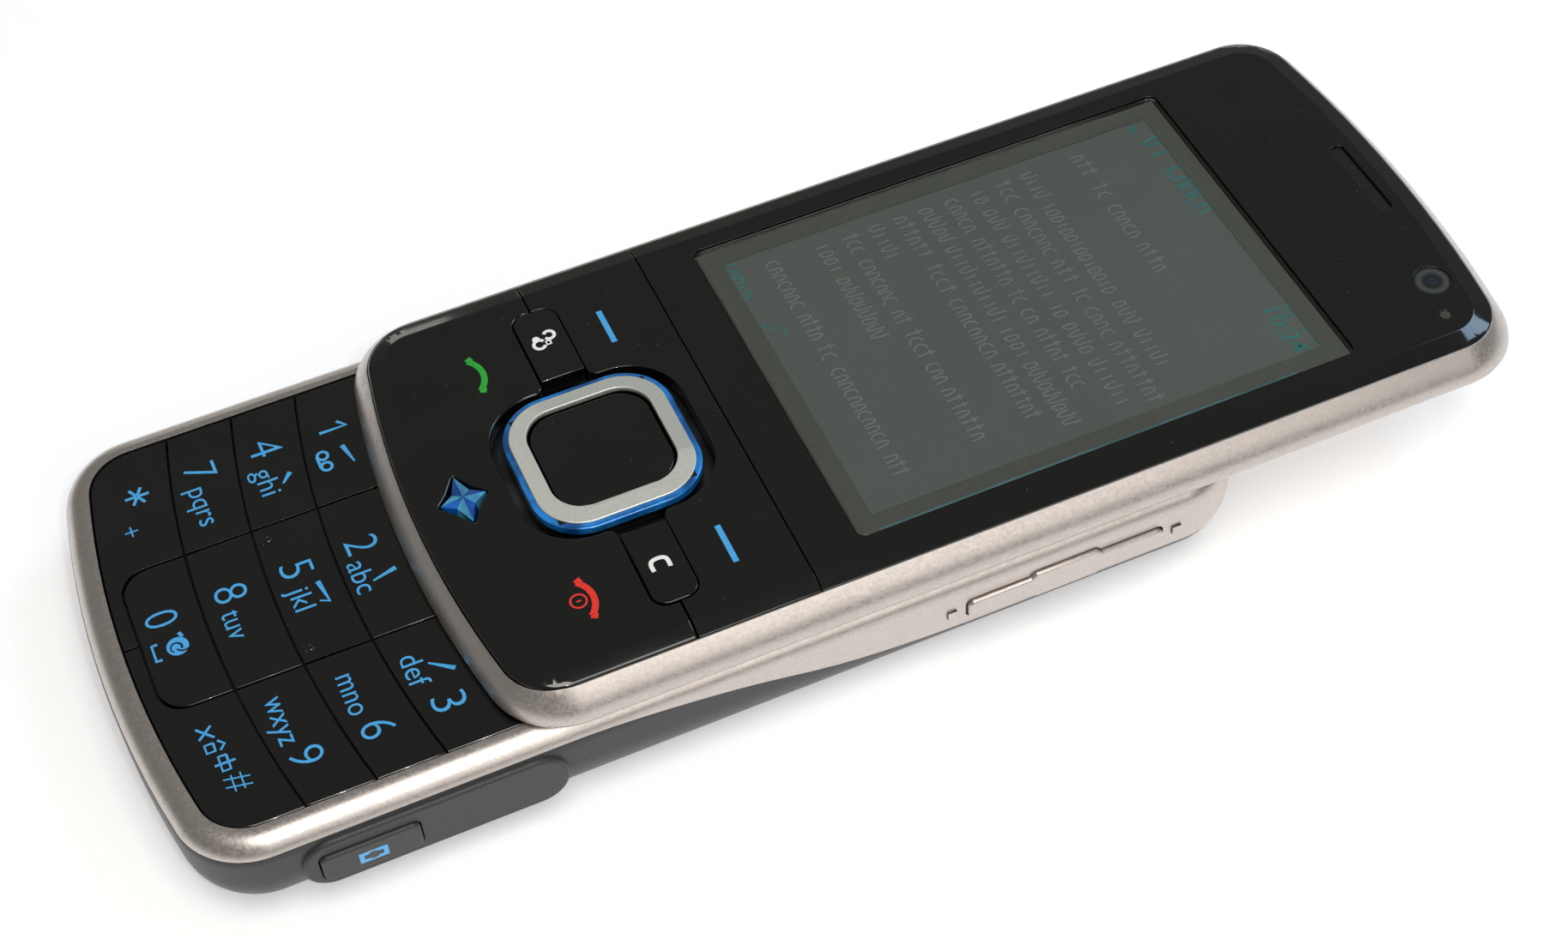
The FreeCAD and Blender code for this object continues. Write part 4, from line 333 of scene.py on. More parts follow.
def lens_stack(name, centre, radius):
    """Coated lens in its barrel: a deep blue eye that is a painted reflection of the coating,
    a black stop, and a grey bevelled rim.
    """
    coat = Coat(name, {"Roughness": 0.08, "Coat Weight": 1.0, "Coat Roughness": 0.02})
    moved = coat.vector("SUBTRACT", coat.place, (centre[0] * MM, centre[1] * MM, 0))[0]
    flat = coat.vector("MULTIPLY", moved, (1 / MM, 1 / MM, 0))[0]
    away = coat.vector("LENGTH", flat)["Value"]
    rings = coat.add("ShaderNodeValToRGB", {"Fac": coat.number("DIVIDE", away, radius)})
    # the blue of the eye is a painted reflection of the lens coating; the black stop and grey rim
    # are the barrel's own colours
    tones = ((0.0, "0A1020"), (0.18, "1B2538"), (0.34, "0D0F14"), (0.5, "16181B"),
             (0.62, "383B3E"), (0.8, "45484A"), (0.94, "1E2021"), (1.0, "101110"))
    spots = rings.color_ramp.elements
    for spot, code in tones[1:-1]:
        spots.new(spot).color = tint(code)
    spots[0].color = tint(tones[0][1])
    spots[-1].color = tint(tones[-1][1])
    coat.feed("Base Color", rings.outputs[0])
    return coat.material


def moulded_plastic(name, tone, rough, grain_mm=0.3):
    """Plain moulded plastic: spark-eroded grain from the tool, slightly uneven in tone."""
    coat = Coat(name, {"Roughness": rough})
    grain = coat.noise(grain_mm, 3)
    coat.shade(coat.noise(8), tone, 0.82, 1.2)
    coat.polish(grain, rough - 0.06, rough + 0.06)
    coat.relief(grain, 0.012, 0.5)
    return coat.material


def printed_ink(name, tone, painted_glow=0.0):
    """Pad-printed ink under a thin varnish: even, with a faint screen of the pad in it."""
    # the emission is a painted glow that makes the ink brighter than the lamps alone light it
    coat = Coat(name, {"Roughness": 0.35, "Coat Weight": 0.4, "Coat Roughness": 0.1,
                       "Emission Color": rgba(tone), "Emission Strength": painted_glow})
    pad = coat.noise(0.35)
    coat.shade(pad, tone, 0.92, 1.08)
    coat.polish(pad, 0.3, 0.42)
    return coat.material


def solder_mask():
    """Green solder mask over copper tracks on glass-epoxy board, with tinned pads."""
    coat = Coat("solder_mask_on_fr4", {
        "Roughness": 0.35, "Coat Weight": 0.5, "Coat Roughness": 0.15})
    tracks = coat.bricks(3.2, tint("16552E"), tint("1B6638"), tint("2B8A4C"), 0.05, True)
    pads = coat.cells(2.4)["Distance"]
    tinned = coat.number("LESS_THAN", pads, 0.16)
    coat.feed("Base Color", coat.mix(tinned, tracks[0], tint("C8C4B4")))
    coat.polish(pads, 0.22, 0.4)
    coat.relief(tracks[1], 0.03, 0.6)
    return coat.material


def dome_film():
    """Polyester film heat-formed over steel domes: satin, with the round domes pushing up."""
    coat = Coat("heat_formed_polyester_film", {"Roughness": 0.3})
    dimple = coat.cells(5)["Distance"]
    coat.stain(dimple, tint("3A3C40"), tint("17181A"), 0.1, 0.5)
    coat.polish(dimple, 0.25, 0.45)
    coat.relief(dimple, 0.1, 0.4)
    return coat.material


def display_glass_cell(tone):
    """Unlit liquid crystal cell: grey polariser over a fine pixel grid, and round the lit field
    a plain brownish frame."""
    coat = Coat("unlit_lcd_with_polariser", {
        "Roughness": 0.3, "Coat Weight": 0.3, "Coat Roughness": 0.08})
    # real pixels are 0.17 mm; the grid is drawn at 0.34 mm so that it shows
    pixels = coat.bricks(0.34, rgba(tone), rgba(tone, 1.06), rgba(tone, 0.88), 0.06)
    lit = coat.mix(coat.noise(25), pixels[0], rgba(tone, 0.86))
    field_middle = (0.25 * MM, 36.65 * MM)
    half_wide, half_tall = 17.15 * MM, 23.75 * MM
    across, along = coat.away_from(field_middle)[:2]
    inside = coat.number("MULTIPLY", coat.number("LESS_THAN", across, half_wide),
                         coat.number("LESS_THAN", along, half_tall))
    coat.feed("Base Color", coat.mix(inside, tint("6A675C"), lit))
    return coat.material


def window_acrylic():
    """Hard-coated clear acrylic window: almost colourless, sharp reflections, faint grey tint."""
    coat = Coat("hard_coated_clear_acrylic", {
        "IOR": 1.49, "Transmission Weight": 1.0, "Roughness": 0.03})
    coat.stain(coat.noise(12, 4), tint("DEE2DE"), tint("E2E6E2"), 0, 1)
    return coat.material


def woven_mesh():
    """Blackened woven steel gauze: a fine grid of wires with dark holes between them."""
    coat = Coat("blackened_woven_gauze", {"Metallic": 0.4, "Roughness": 0.5})
    # real wires are 0.08 mm apart; drawn at 0.3 mm so that the weave shows
    weave = coat.bricks(0.3, tint("050505"), tint("0B0B0B"), tint("2B2B2A"), 0.2)
    coat.feed("Base Color", weave[0])
    coat.polish(weave[1], 0.3, 0.6)
    coat.relief(weave[1], 0.05, 0.8)
    return coat.material


def table_card():
    """Matt white table card: barely toothed paper that takes a soft shadow."""
    coat = Coat("matt_white_card", {
        "Roughness": 0.9, "Specular IOR Level": 0.1, "Emission Color": (1, 1, 1, 1),
        "Emission Strength": 0.31})
    tooth = coat.noise(0.8, 3)
    coat.stain(tooth, tint("F7F7F7"), tint("FCFCFC"))
    coat.relief(tooth, 0.02, 0.2)
    return coat.material


@functools.cache
def finish(name):
    """The coat of that name, mixed once from the user's colours."""
    tones = bpy.context.scene.phone_colours
    recipes = {
        "silver": (silver_paint, tones.silver),
        "soft_touch": (soft_touch_coat, tones.shell),
        "face": (gloss_lacquer, "piano_black_polycarbonate", tones.face, 0.06, 0.03),
        "keys": (gloss_lacquer, "gloss_black_key_caps", tones.key, 0.10, 0.02),
        "ring": (plated_metal, "satin_plated_ring", tones.ring, 0.45, 0.06, 1.0, 0.75),
        "skirt": (masked_light_guide, "blue_light_guide_acrylic", tones.skirt),
        "star": (foiled_acrylic, "foil_backed_blue_acrylic", tones.star),
        # painted highlight and painted shade of the star's blue, for its facets
        "star_painted_highlight": (foiled_acrylic, "foil_backed_pale_acrylic", linear("5CBEFF")),
        "star_painted_shade": (foiled_acrylic, "foil_backed_deep_acrylic", linear("1468CC")),
        "steel": (plated_metal, "stamped_stainless_steel", linear("A9ABAD"), 0.34),
        "spring": (plated_metal, "spring_wire_steel", linear("B9BABC"), 0.25),
        "tin": (plated_metal, "tinned_steel_can", linear("C2C4C6"), 0.3, 0.4),
        "gilt": (plated_metal, "gold_plated_bronze", linear("D9A84C"), 0.25),
        "tungsten": (plated_metal, "sintered_tungsten", linear("8A8886"), 0.42),
        "board": (solder_mask,),
        "film": (dome_film,),
        "wrap": (moulded_plastic, "shrink_wrapped_cell", linear("6C7076"), 0.35, 1.2),
        "inner": (moulded_plastic, "moulded_black_nylon", linear("1A1A1B"), 0.5),
        "front_lens": (lens_stack, "coated_front_lens", (14.4, 72.7), 1.7),
        "rear_lens": (lens_stack, "coated_rear_lens", (0.0, 36.0), 3.3),
        "sensor": (moulded_plastic, "smoked_sensor_window", linear("4A453E"), 0.2),
        "flex": (tinted_acrylic, "polyimide_ribbon", linear("B8691C"), 0.1, 0.25),
        "cell": (display_glass_cell, tones.screen),
        "window": (window_acrylic,),
        "mesh": (woven_mesh,),
        "border": (printed_ink, "grey_brown_screen_border", linear("7B7A72")),
        # painted highlight for the window's right edge
        "edge_painted_highlight": (tinted_acrylic, "blue_green_window_edge", linear("6FA9B8"), 0.2),
        "black_ink": (printed_ink, "black_pad_print", linear("0C0D0D")),
        # the last number of each of these inks is its painted glow
        "blue_ink": (printed_ink, "light_blue_pad_print", tones.key_ink, 0.12),
        "white_ink": (printed_ink, "white_pad_print", tones.white_ink, 0.1),
        "green_ink": (printed_ink, "green_pad_print", tones.call_ink, 0.1),
        "red_ink": (printed_ink, "red_pad_print", tones.end_ink, 0.1),
        "dim_ink": (printed_ink, "dim_screen_segments", linear("4FB4B4")),
        "pale_ink": (printed_ink, "pale_screen_segments", linear("B4BDB8")),
        "card": (table_card,),
    }
    recipe, *given = recipes[name]
    return recipe(*given)


# ------------------------------------------------ bench work on meshes

def pick(*objects):
    """Selects only these objects and makes the first one active."""
    if bpy.context.object and bpy.context.object.mode != "OBJECT":
        bpy.ops.object.mode_set(mode="OBJECT")
    bpy.ops.object.select_all(action="DESELECT")
    for piece in objects:
        piece.select_set(True)
    bpy.context.view_layer.objects.active = objects[0]


def named(piece, name):
    """Gives an object and its mesh one name."""
    piece.name = name
    piece.data.name = name
    return piece


def press(piece, kind, **settings):
    """Adds one modifier with its settings and applies it."""
    pick(piece)
    made = piece.modifiers.new(kind.lower(), kind)
    for name, value in settings.items():
        setattr(made, name, value)
    bpy.ops.object.modifier_apply(modifier=made.name)


def dress(piece, coat_name):
    """Gives a piece one coat instead of any it has."""
    piece.data.materials.clear()
    piece.data.materials.append(finish(coat_name))


def wear(piece, coat_name, body):
    """Gives a piece its coat and the body it rides on."""
    dress(piece, coat_name)
    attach(piece, body)
    return piece


def coat_node(node, coat_name):
    """Gives a CAD node that stays as it is its coat."""
    dress(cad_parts[node], coat_name)


def shell_copy(node, name):
    """A merged copy of a node's mesh with its flat faces joined, ready to be rounded."""
    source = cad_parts[node]
    piece = bpy.data.objects.new(name, source.data.copy())
    bpy.context.scene.collection.objects.link(piece)
    pick(piece)
    if piece.data.has_custom_normals:
        bpy.ops.mesh.customdata_custom_splitnormals_clear()
    bpy.ops.object.mode_set(mode="EDIT")
    bpy.ops.mesh.select_all(action="SELECT")
    bpy.ops.mesh.remove_doubles(threshold=2e-6)
    bpy.ops.mesh.dissolve_limited(angle_limit=math.radians(0.4))
    bpy.ops.object.mode_set(mode="OBJECT")
    return piece


def round_edges(piece, width, angle=30.0, smooth=38.0):
    """Rounds the edges sharper than angle, and shades what is flatter than smooth as one."""
    steps = bpy.context.scene.phone_sizes.edge_steps
    press(piece, "BEVEL", width=width, segments=steps, limit_method="ANGLE",
          angle_limit=math.radians(angle), profile=0.5, miter_outer="MITER_ARC")
    pick(piece)
    bpy.ops.object.shade_smooth_by_angle(angle=math.radians(smooth))
    press(piece, "WEIGHTED_NORMAL", keep_sharp=True, weight=60)


def rounded_stand_in(node, coat_name, body, width, angle=30.0, smooth=38.0):
    """Replaces a node by its own copy with rounded edges and a coat."""
    piece = shell_copy(node, node + "_rounded")
    round_edges(piece, width, angle, smooth)
    wear(piece, coat_name, body)
    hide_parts(node)
    return piece


# ------------------------------------------------ printed marks

# heights of the printed surfaces, in mm: number keys, face, and the raised menu and clear keys
KEY_TOP = 10.9
FACE_TOP = 14.9
PILL_TOP = 14.98


def settle(piece, place, turn=Matrix.Identity(4)):
    """Writes a piece's place into its mesh, so that its object sits at the origin."""
    piece.data.transform(Matrix.Translation(Vector(place) * MM) @ turn)
    piece.matrix_world = Matrix.Identity(4)
    piece.data.update()
    return piece


def lettering(text, swell=-0.004):
    """Solid letters of the built-in face at size one; a swell below nought thins them."""
    bpy.ops.object.select_all(action="DESELECT")
    bpy.ops.object.text_add(location=(0, 0, 0))
    line = bpy.context.object.data
    line.body = text
    line.extrude = 0.5
    line.resolution_u = 4
    line.offset = swell
    bpy.ops.object.convert(target="MESH")
    bpy.ops.object.mode_set(mode="EDIT")
    bpy.ops.mesh.select_all(action="SELECT")
    bpy.ops.mesh.remove_doubles(threshold=1e-5)
    bpy.ops.object.mode_set(mode="OBJECT")
    return bpy.context.object


def spread_of(piece, axis):
    """Lowest and highest coordinate of a mesh along one axis."""
    along = [v.co[axis] for v in piece.data.vertices]
    return min(along), max(along)


def lay_letters(piece, xs, y, tall, top, foot=0.0):
    """Fits letters between two x, scales their height by tall, and lays their foot on y."""
    x0, x1 = spread_of(piece, 0)
    wide = (xs[1] - xs[0]) * MM / (x1 - x0)
    thick = bpy.context.scene.phone_sizes.print_thick
    piece.data.transform(Matrix.Diagonal((wide, tall, thick, 1)))
    return settle(piece, (xs[0], y, top + thick / MM / 2),
                  Matrix.Translation((-x0 * wide, -foot * tall, 0)))


def print_text(text, xs, ys, top, swell=-0.014):
    """Letters fitted between two x and two y, lying on the surface at height top, in mm."""
    piece = lettering(text, swell)
    y0, y1 = spread_of(piece, 1)
    return lay_letters(piece, xs, ys[0], (ys[1] - ys[0]) * MM / (y1 - y0), top, y0)


def print_letters(text, xs, baseline, top):
    """Small letters on a baseline: their height is that of the small x, their width is fitted."""
    piece = lettering(text)
    tall = bpy.context.scene.phone_sizes.letter_height / small_x_height()
    return lay_letters(piece, xs, baseline, tall, top)


@functools.cache
def small_x_height():
    """Height of a small x of the built-in face at size one."""
    sample = lettering("x")
    low, high = spread_of(sample, 1)
    bpy.data.objects.remove(sample)
    return high - low


def print_stroke(points, top, width=None, **form):
    """A flat line with round ends through points in mm, lying on the surface at height top."""
    return print_strokes([points], top, width, **form)


def print_strokes(paths, top, width=None, closed=False, smooth=False, taper=1.0):
    """Several such lines, each given by its points, as one piece."""
    sizes = bpy.context.scene.phone_sizes
    half = (width * MM if width else sizes.print_stroke) / 2
    bpy.ops.object.select_all(action="DESELECT")
    bpy.ops.curve.primitive_nurbs_path_add(location=(0, 0, 0))
    line = bpy.context.object.data
    line.splines.clear()
    for points in paths:
        spline = line.splines.new("NURBS" if smooth else "POLY")
        spline.points.add(len(points) - 1)
        for i, (slot, (x, y)) in enumerate(zip(spline.points, points)):
            slot.co = (x * MM, y * MM, 0, 1)
            slot.radius = 1 + (taper - 1) * i / (len(points) - 1)
        spline.use_cyclic_u = closed
        if smooth:
            spline.order_u = 3
            spline.use_endpoint_u = not closed
    line.dimensions = "3D"
    line.resolution_u = 8
    line.bevel_depth = half
    line.bevel_resolution = 3
    line.use_fill_caps = not closed
    bpy.ops.object.convert(target="MESH")
    piece = bpy.context.object
    piece.data.transform(Matrix.Diagonal((1, 1, sizes.print_thick / (2 * half), 1)))
    return settle(piece, (0, 0, top + sizes.print_thick / MM / 2))


def print_disc(centre, radius, top, hole=0.0):
    """A thin disc or ring of ink."""
    thick = bpy.context.scene.phone_sizes.print_thick
    bpy.ops.object.select_all(action="DESELECT")
    bpy.ops.mesh.primitive_cylinder_add(
        vertices=40, radius=radius * MM, depth=thick,
        location=(centre[0] * MM, centre[1] * MM, top * MM + thick / 2))
    piece = bpy.context.object
    bpy.ops.object.transform_apply(location=True, rotation=True, scale=True)
    if hole:
        bpy.ops.object.mode_set(mode="EDIT")
        bpy.ops.mesh.select_mode(type="FACE")
        bpy.ops.mesh.select_all(action="DESELECT")
        shape = bmesh.from_edit_mesh(piece.data)
        for face in shape.faces:
            face.select_set(abs(face.normal.z) > 0.9)
        bmesh.update_edit_mesh(piece.data)
        bpy.ops.mesh.inset(thickness=(radius - hole) * MM)
        bpy.ops.mesh.bridge_edge_loops()
        bpy.ops.object.mode_set(mode="OBJECT")
    return piece


def join_prints(pieces, name, ink, body):
    """Joins a key's marks to one print, and lets it ride with the key."""
    pick(*pieces)
    if len(pieces) > 1:
        bpy.ops.object.join()
    return wear(named(bpy.context.object, name), ink, body)


def arc(centre, radius, start, end, count=12):
    """Points along part of a circle, in mm, from start to end degrees."""
    turns = [math.radians(start + (end - start) * i / count) for i in range(count + 1)]
    return [(centre[0] + radius * math.cos(t), centre[1] + radius * math.sin(t)) for t in turns]


def boxed(x0, y0, x1, y1):
    """The corners of a rectangle, the first one again at the end."""
    return [(x0, y0), (x1, y0), (x1, y1), (x0, y1), (x0, y0)]


# ------------------------------------------------ operators

# name, place and width in metres, property that holds the power, and colour of each lamp
LAMPS = (
    ("top_softbox", (0.27, 0.0, 0.83), 0.44, "key_power", "FFFBF8"),
    ("right_softbox", (0.72, 0.18, 0.50), 0.5, "right_power", "FFFDFB"),
    ("side_softbox", (-0.84, 0.02, 0.27), 0.16, "fill_power", "F6F8F0"),
    ("window_light", (-0.136, 0.589, 0.626), 0.3, "sky_power", "B4D2F0"),
    ("glint_lamp", (0.21, -0.02, 0.27), 0.012, "glint_power", "FFFFFF"),
)


class PHONE_OT_studio(bpy.types.Operator):
    """Lay the table, hang the lights and set the camera"""
    bl_idname = "phone.studio"
    bl_label = "Studio"

    def execute(self, context):
        studio = context.scene.phone_studio
        self.place_camera(context, studio)
        self.lay_table(context)
        world = bpy.data.worlds.new("room_light")
        context.scene.world = world
        world.use_nodes = True
        backdrop = world.node_tree.nodes["Background"]
        backdrop.inputs["Color"].default_value = tint("F1F2EC")
        backdrop.inputs["Strength"].default_value = studio.sky
        for name, place, size, power_name, code in LAMPS:
            self.hang(name, place, size, getattr(studio, power_name), code)
        context.scene.view_settings.view_transform = "Standard"
        return {"FINISHED"}

    def lay_table(self, context):
        """The table, a hair below the phone's back."""
        wide, gap = 6.0, 0.02 * MM
        bpy.ops.object.select_all(action="DESELECT")
        bpy.ops.mesh.primitive_grid_add(x_subdivisions=8, y_subdivisions=8, size=wide,
                                        location=(0, 0, -gap))
        table = context.object
        bpy.ops.object.transform_apply(location=True)
        table.name = "table_card"
        table.data.materials.append(finish("card"))

    def place_camera(self, context, studio):
        """The camera, from its place and the directions of its right, down and ahead."""
        bpy.ops.object.camera_add()
        camera = context.object
        camera.name = "studio_camera"
        right = Vector((0.40351418, 0.91413999, -0.0390434))
        down = Vector((0.69831877, -0.33525858, -0.63241804))
        ahead = Vector((-0.59120825, 0.22792491, -0.77364271))
        turn = Matrix((right, -down, -ahead)).transposed().to_4x4()
        stand = Vector((145.617, -43.060, 193.541)) * MM
        camera.matrix_world = Matrix.Translation(stand) @ turn
        camera.data.sensor_width = 36.0
        camera.data.sensor_fit = "HORIZONTAL"
        camera.data.lens = studio.lens
        camera.data.clip_start = 0.01
        camera.data.clip_end = 20.0
        context.scene.camera = camera

    def hang(self, name, place, size, power, code):
        """A square soft light that looks at the phone."""
        bpy.ops.object.light_add(type="AREA", location=place)
        lamp = bpy.context.object
        lamp.name = name
        lamp.data.size = size
        lamp.data.energy = power
        lamp.data.color = linear(code)
        lamp.rotation_euler = (-Vector(place)).to_track_quat("-Z", "Y").to_euler()


class PHONE_OT_silver_shells(bpy.types.Operator):
    """Round and paint the silver frames of both halves"""
    bl_idname = "phone.silver_shells"
    bl_label = "Silver shells"

    def execute(self, context):
        edge = context.scene.phone_sizes.shell_edge
        lower = rounded_stand_in("base_frame", "silver", "lower_half", edge)
        rounded_stand_in("slider_frame", "silver", "upper_half", edge)
        self.leave_bare(lower)
        return {"FINISHED"}

    def leave_bare(self, piece):
        """The paint stops at the rim: the key wells inside it stay bare black plastic."""
        rim_side, rim_end, painted_depth = 3.0 * MM, 8.0 * MM, 0.35 * MM
        faces_out = 0.15
        low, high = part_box("base_frame")
        centre = (low + high) / 2
        reach = (high - low) / 2
        piece.data.materials.append(finish("inner"))
        for face in piece.data.polygons:
            away = face.center - centre
            deep = abs(away.x) < reach.x - rim_side and abs(away.y) < reach.y - rim_end
            inward = away.xy.normalized().dot(face.normal.xy) < faces_out
            if (deep or inward) and face.center.z < high.z - painted_depth:
                face.material_index = 1


class PHONE_OT_dark_shells(bpy.types.Operator):
    """Round and coat the dark housing and the battery cover"""
    bl_idname = "phone.dark_shells"
    bl_label = "Dark shells"

    def execute(self, context):
        edge = context.scene.phone_sizes.shell_edge
        rounded_stand_in("back_housing", "soft_touch", "lower_half", edge)
        rounded_stand_in("battery_cover", "soft_touch", "battery_cover", edge)
        return {"FINISHED"}


class PHONE_OT_face(bpy.types.Operator):
    """Round and lacquer the face and its two large key plates"""
    bl_idname = "phone.face"
    bl_label = "Face plates"

    def execute(self, context):
        edge = context.scene.phone_sizes.face_roll
        for node, body in (("front_plate", "upper_half"), ("soft_key_plate", "soft_key_plate"),
                           ("call_end_plate", "call_end_plate")):
            rounded_stand_in(node, "face", body, edge, angle=14.0, smooth=40.0)
        return {"FINISHED"}


class PHONE_OT_number_keys(bpy.types.Operator):
    """Round and lacquer the twelve number keys"""
    bl_idname = "phone.number_keys"
    bl_label = "Number keys"

    def execute(self, context):
        edge = context.scene.phone_sizes.key_edge
        for label in ("1", "2", "3", "4", "5", "6", "7", "8", "9", "star", "0", "hash"):
            node = "key_" + label
            rounded_stand_in(node, "keys", node, edge)
        self.pips()
        return {"FINISHED"}

    def pips(self):
        """The two small domes by which a thumb finds the five key."""
        radius, flatness = 0.36 * MM, 0.35
        for i, (x, y) in enumerate(((-6.49, -33.93), (6.51, -33.99))):
            bpy.ops.object.select_all(action="DESELECT")
            bpy.ops.mesh.primitive_uv_sphere_add(segments=24, ring_count=12, radius=radius)
            bpy.ops.object.shade_smooth()
            pip = named(bpy.context.object, "key_5_pip_%d" % i)
            pip.data.transform(Matrix.Diagonal((1, 1, flatness, 1)))
            settle(pip, (x, y, KEY_TOP))
            wear(pip, "keys", "key_5")


class PHONE_OT_navigation(bpy.types.Operator):
    """Finish the plated ring, its blue skirt and the middle key"""
    bl_idname = "phone.navigation"
    bl_label = "Navigation"

    def execute(self, context):
        edge = context.scene.phone_sizes.ring_edge
        self.ring(edge)
        rounded_stand_in("nav_skirt", "skirt", "nav_ring", edge)
        rounded_stand_in("centre_key", "face", "centre_key", edge)
        coat_node("nav_pad", "inner")
        return {"FINISHED"}

    def ring(self, edge):
        """The ring falls off a little towards its outer edge."""
        band, corner_reach, fall, slack = 1.2 * MM, 1.2, 0.3 * MM, 0.01 * MM
        piece = shell_copy("nav_ring", "nav_ring_crowned")
        low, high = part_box("nav_ring")
        pick(piece)
        bpy.ops.object.mode_set(mode="EDIT")
        bpy.ops.mesh.select_mode(type="VERT")
        bpy.ops.mesh.select_all(action="DESELECT")
        shape = bmesh.from_edit_mesh(piece.data)
        centre = (low + high) / 2
        reach = (high.x - low.x) / 2 - band
        for point in shape.verts:
            away = (point.co - centre).xy
            outer = (max(abs(away.x), abs(away.y)) > reach
                     or away.length > reach * corner_reach)
            point.select_set(outer and point.co.z > high.z - slack)
        shape.select_flush_mode()
        bmesh.update_edit_mesh(piece.data)
        bpy.ops.transform.translate(value=(0, 0, -fall))
        bpy.ops.object.mode_set(mode="OBJECT")
        round_edges(piece, edge)
        wear(piece, "ring", "nav_ring")
        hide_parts("nav_ring")


class PHONE_OT_small_keys(bpy.types.Operator):
    """Finish the menu, clear and star keys"""
    bl_idname = "phone.small_keys"
    bl_label = "Small keys"

    def execute(self, context):
        edge = context.scene.phone_sizes.face_edge
        for node in ("menu_key", "clear_key"):
            rounded_stand_in(node, "face", node, edge)
        self.star()
        return {"FINISHED"}

    def star(self):
        """The star key: its slopes take three blues in turn, the plain blue with a painted
        highlight and a painted shade of it, so that they read as cut facets.
        """
        piece = shell_copy("star_key", "star_key_cut")
        self.pinch(piece)
        wear(piece, "star", "star_key")
        for name in ("star_painted_highlight", "star_painted_shade"):
            piece.data.materials.append(finish(name))
        # facets turned one way take the painted highlight, the others the painted shade; the flat
        # top keeps the plain blue
        quarter, level = 90, 0.97
        for face in piece.data.polygons:
            turn = math.degrees(math.atan2(face.normal.y, face.normal.x)) % quarter
            side = 1 if turn < quarter / 2 else 2
            face.material_index = side if abs(face.normal.z) < level else 0
        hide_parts("star_key")

    def pinch(self, piece):
        """Draws in the four inner corners of the star above the face."""
        share, tip_half, foot = 0.78, 0.3 * MM, (FACE_TOP - 0.5) * MM
        low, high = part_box("star_key")
        middle = (low + high) / 2
        for vertex in piece.data.vertices:
            x, y = vertex.co.x - middle.x, vertex.co.y - middle.y
            if vertex.co.z > foot and min(abs(x), abs(y)) > tip_half:
                vertex.co.x, vertex.co.y = middle.x + x * share, middle.y + y * share


# height of each line of screen copy, and the left and right end of its words, in mm
COPY_LINES = (
    (51.2, ((-15.0, -11.8), (-10.6, -8.3), (-7.5, -2.6), (-1.8, 2.3))),
    (45.7, ((-15.0, -11.2), (-10.4, 2.7), (3.7, 7.0), (7.8, 12.7))),
    (43.0, ((-15.0, -11.9), (-11.0, -4.1), (-3.3, 0.0), (0.7, 2.5), (3.3, 7.4), (8.1, 16.2))),
    (40.3, ((-15.0, -12.8), (-12.1, -9.0), (-8.2, 0.7), (1.5, 3.4), (4.2, 8.4), (9.1, 15.3))),
    (37.6, ((-15.0, -10.1), (-9.1, -2.5), (-1.7, 0.2), (0.9, 2.9), (3.7, 8.1), (8.9, 11.7))),
    (34.9, ((-15.0, -9.9), (-9.3, 1.5), (2.1, 6.4), (6.9, 15.2))),
    (32.2, ((-15.0, -8.9), (-8.0, -3.9), (-3.1, 5.1), (5.8, 13.1))),
    (29.5, ((-15.0, -10.1),)),
    (26.8, ((-15.0, -12.2), (-11.3, -5.0), (-4.1, -2.1), (-1.3, 2.4), (3.1, 5.8), (6.5, 13.3))),
    (24.0, ((-15.0, -10.8), (-10.1, -1.6))),
    (18.8, ((-15.0, -8.2), (-7.4, -4.0), (-3.2, -1.0), (-0.1, 10.4), (11.3, 13.9))),
)


# strokes of the dummy letters, in shares of their width and of their height from its middle
LETTER_FORMS = (
    [[(0, -0.5), (0, 0.5), (1, 0.5), (1, -0.5)]],
    [[(0, -0.5), (0, 0.5), (1, 0.5), (1, -0.5), (0, -0.5)]],
    [[(1, 0.5), (0, 0.5), (0, -0.5), (1, -0.5)]],
    [[(0.5, -0.5), (0.5, 0.5)]],
    [[(0.5, -0.5), (0.5, 0.85)], [(0, 0.5), (1, 0.5)]],
    [[(0, 0.5), (0, -0.5), (1, -0.5), (1, 0.85)]],
)


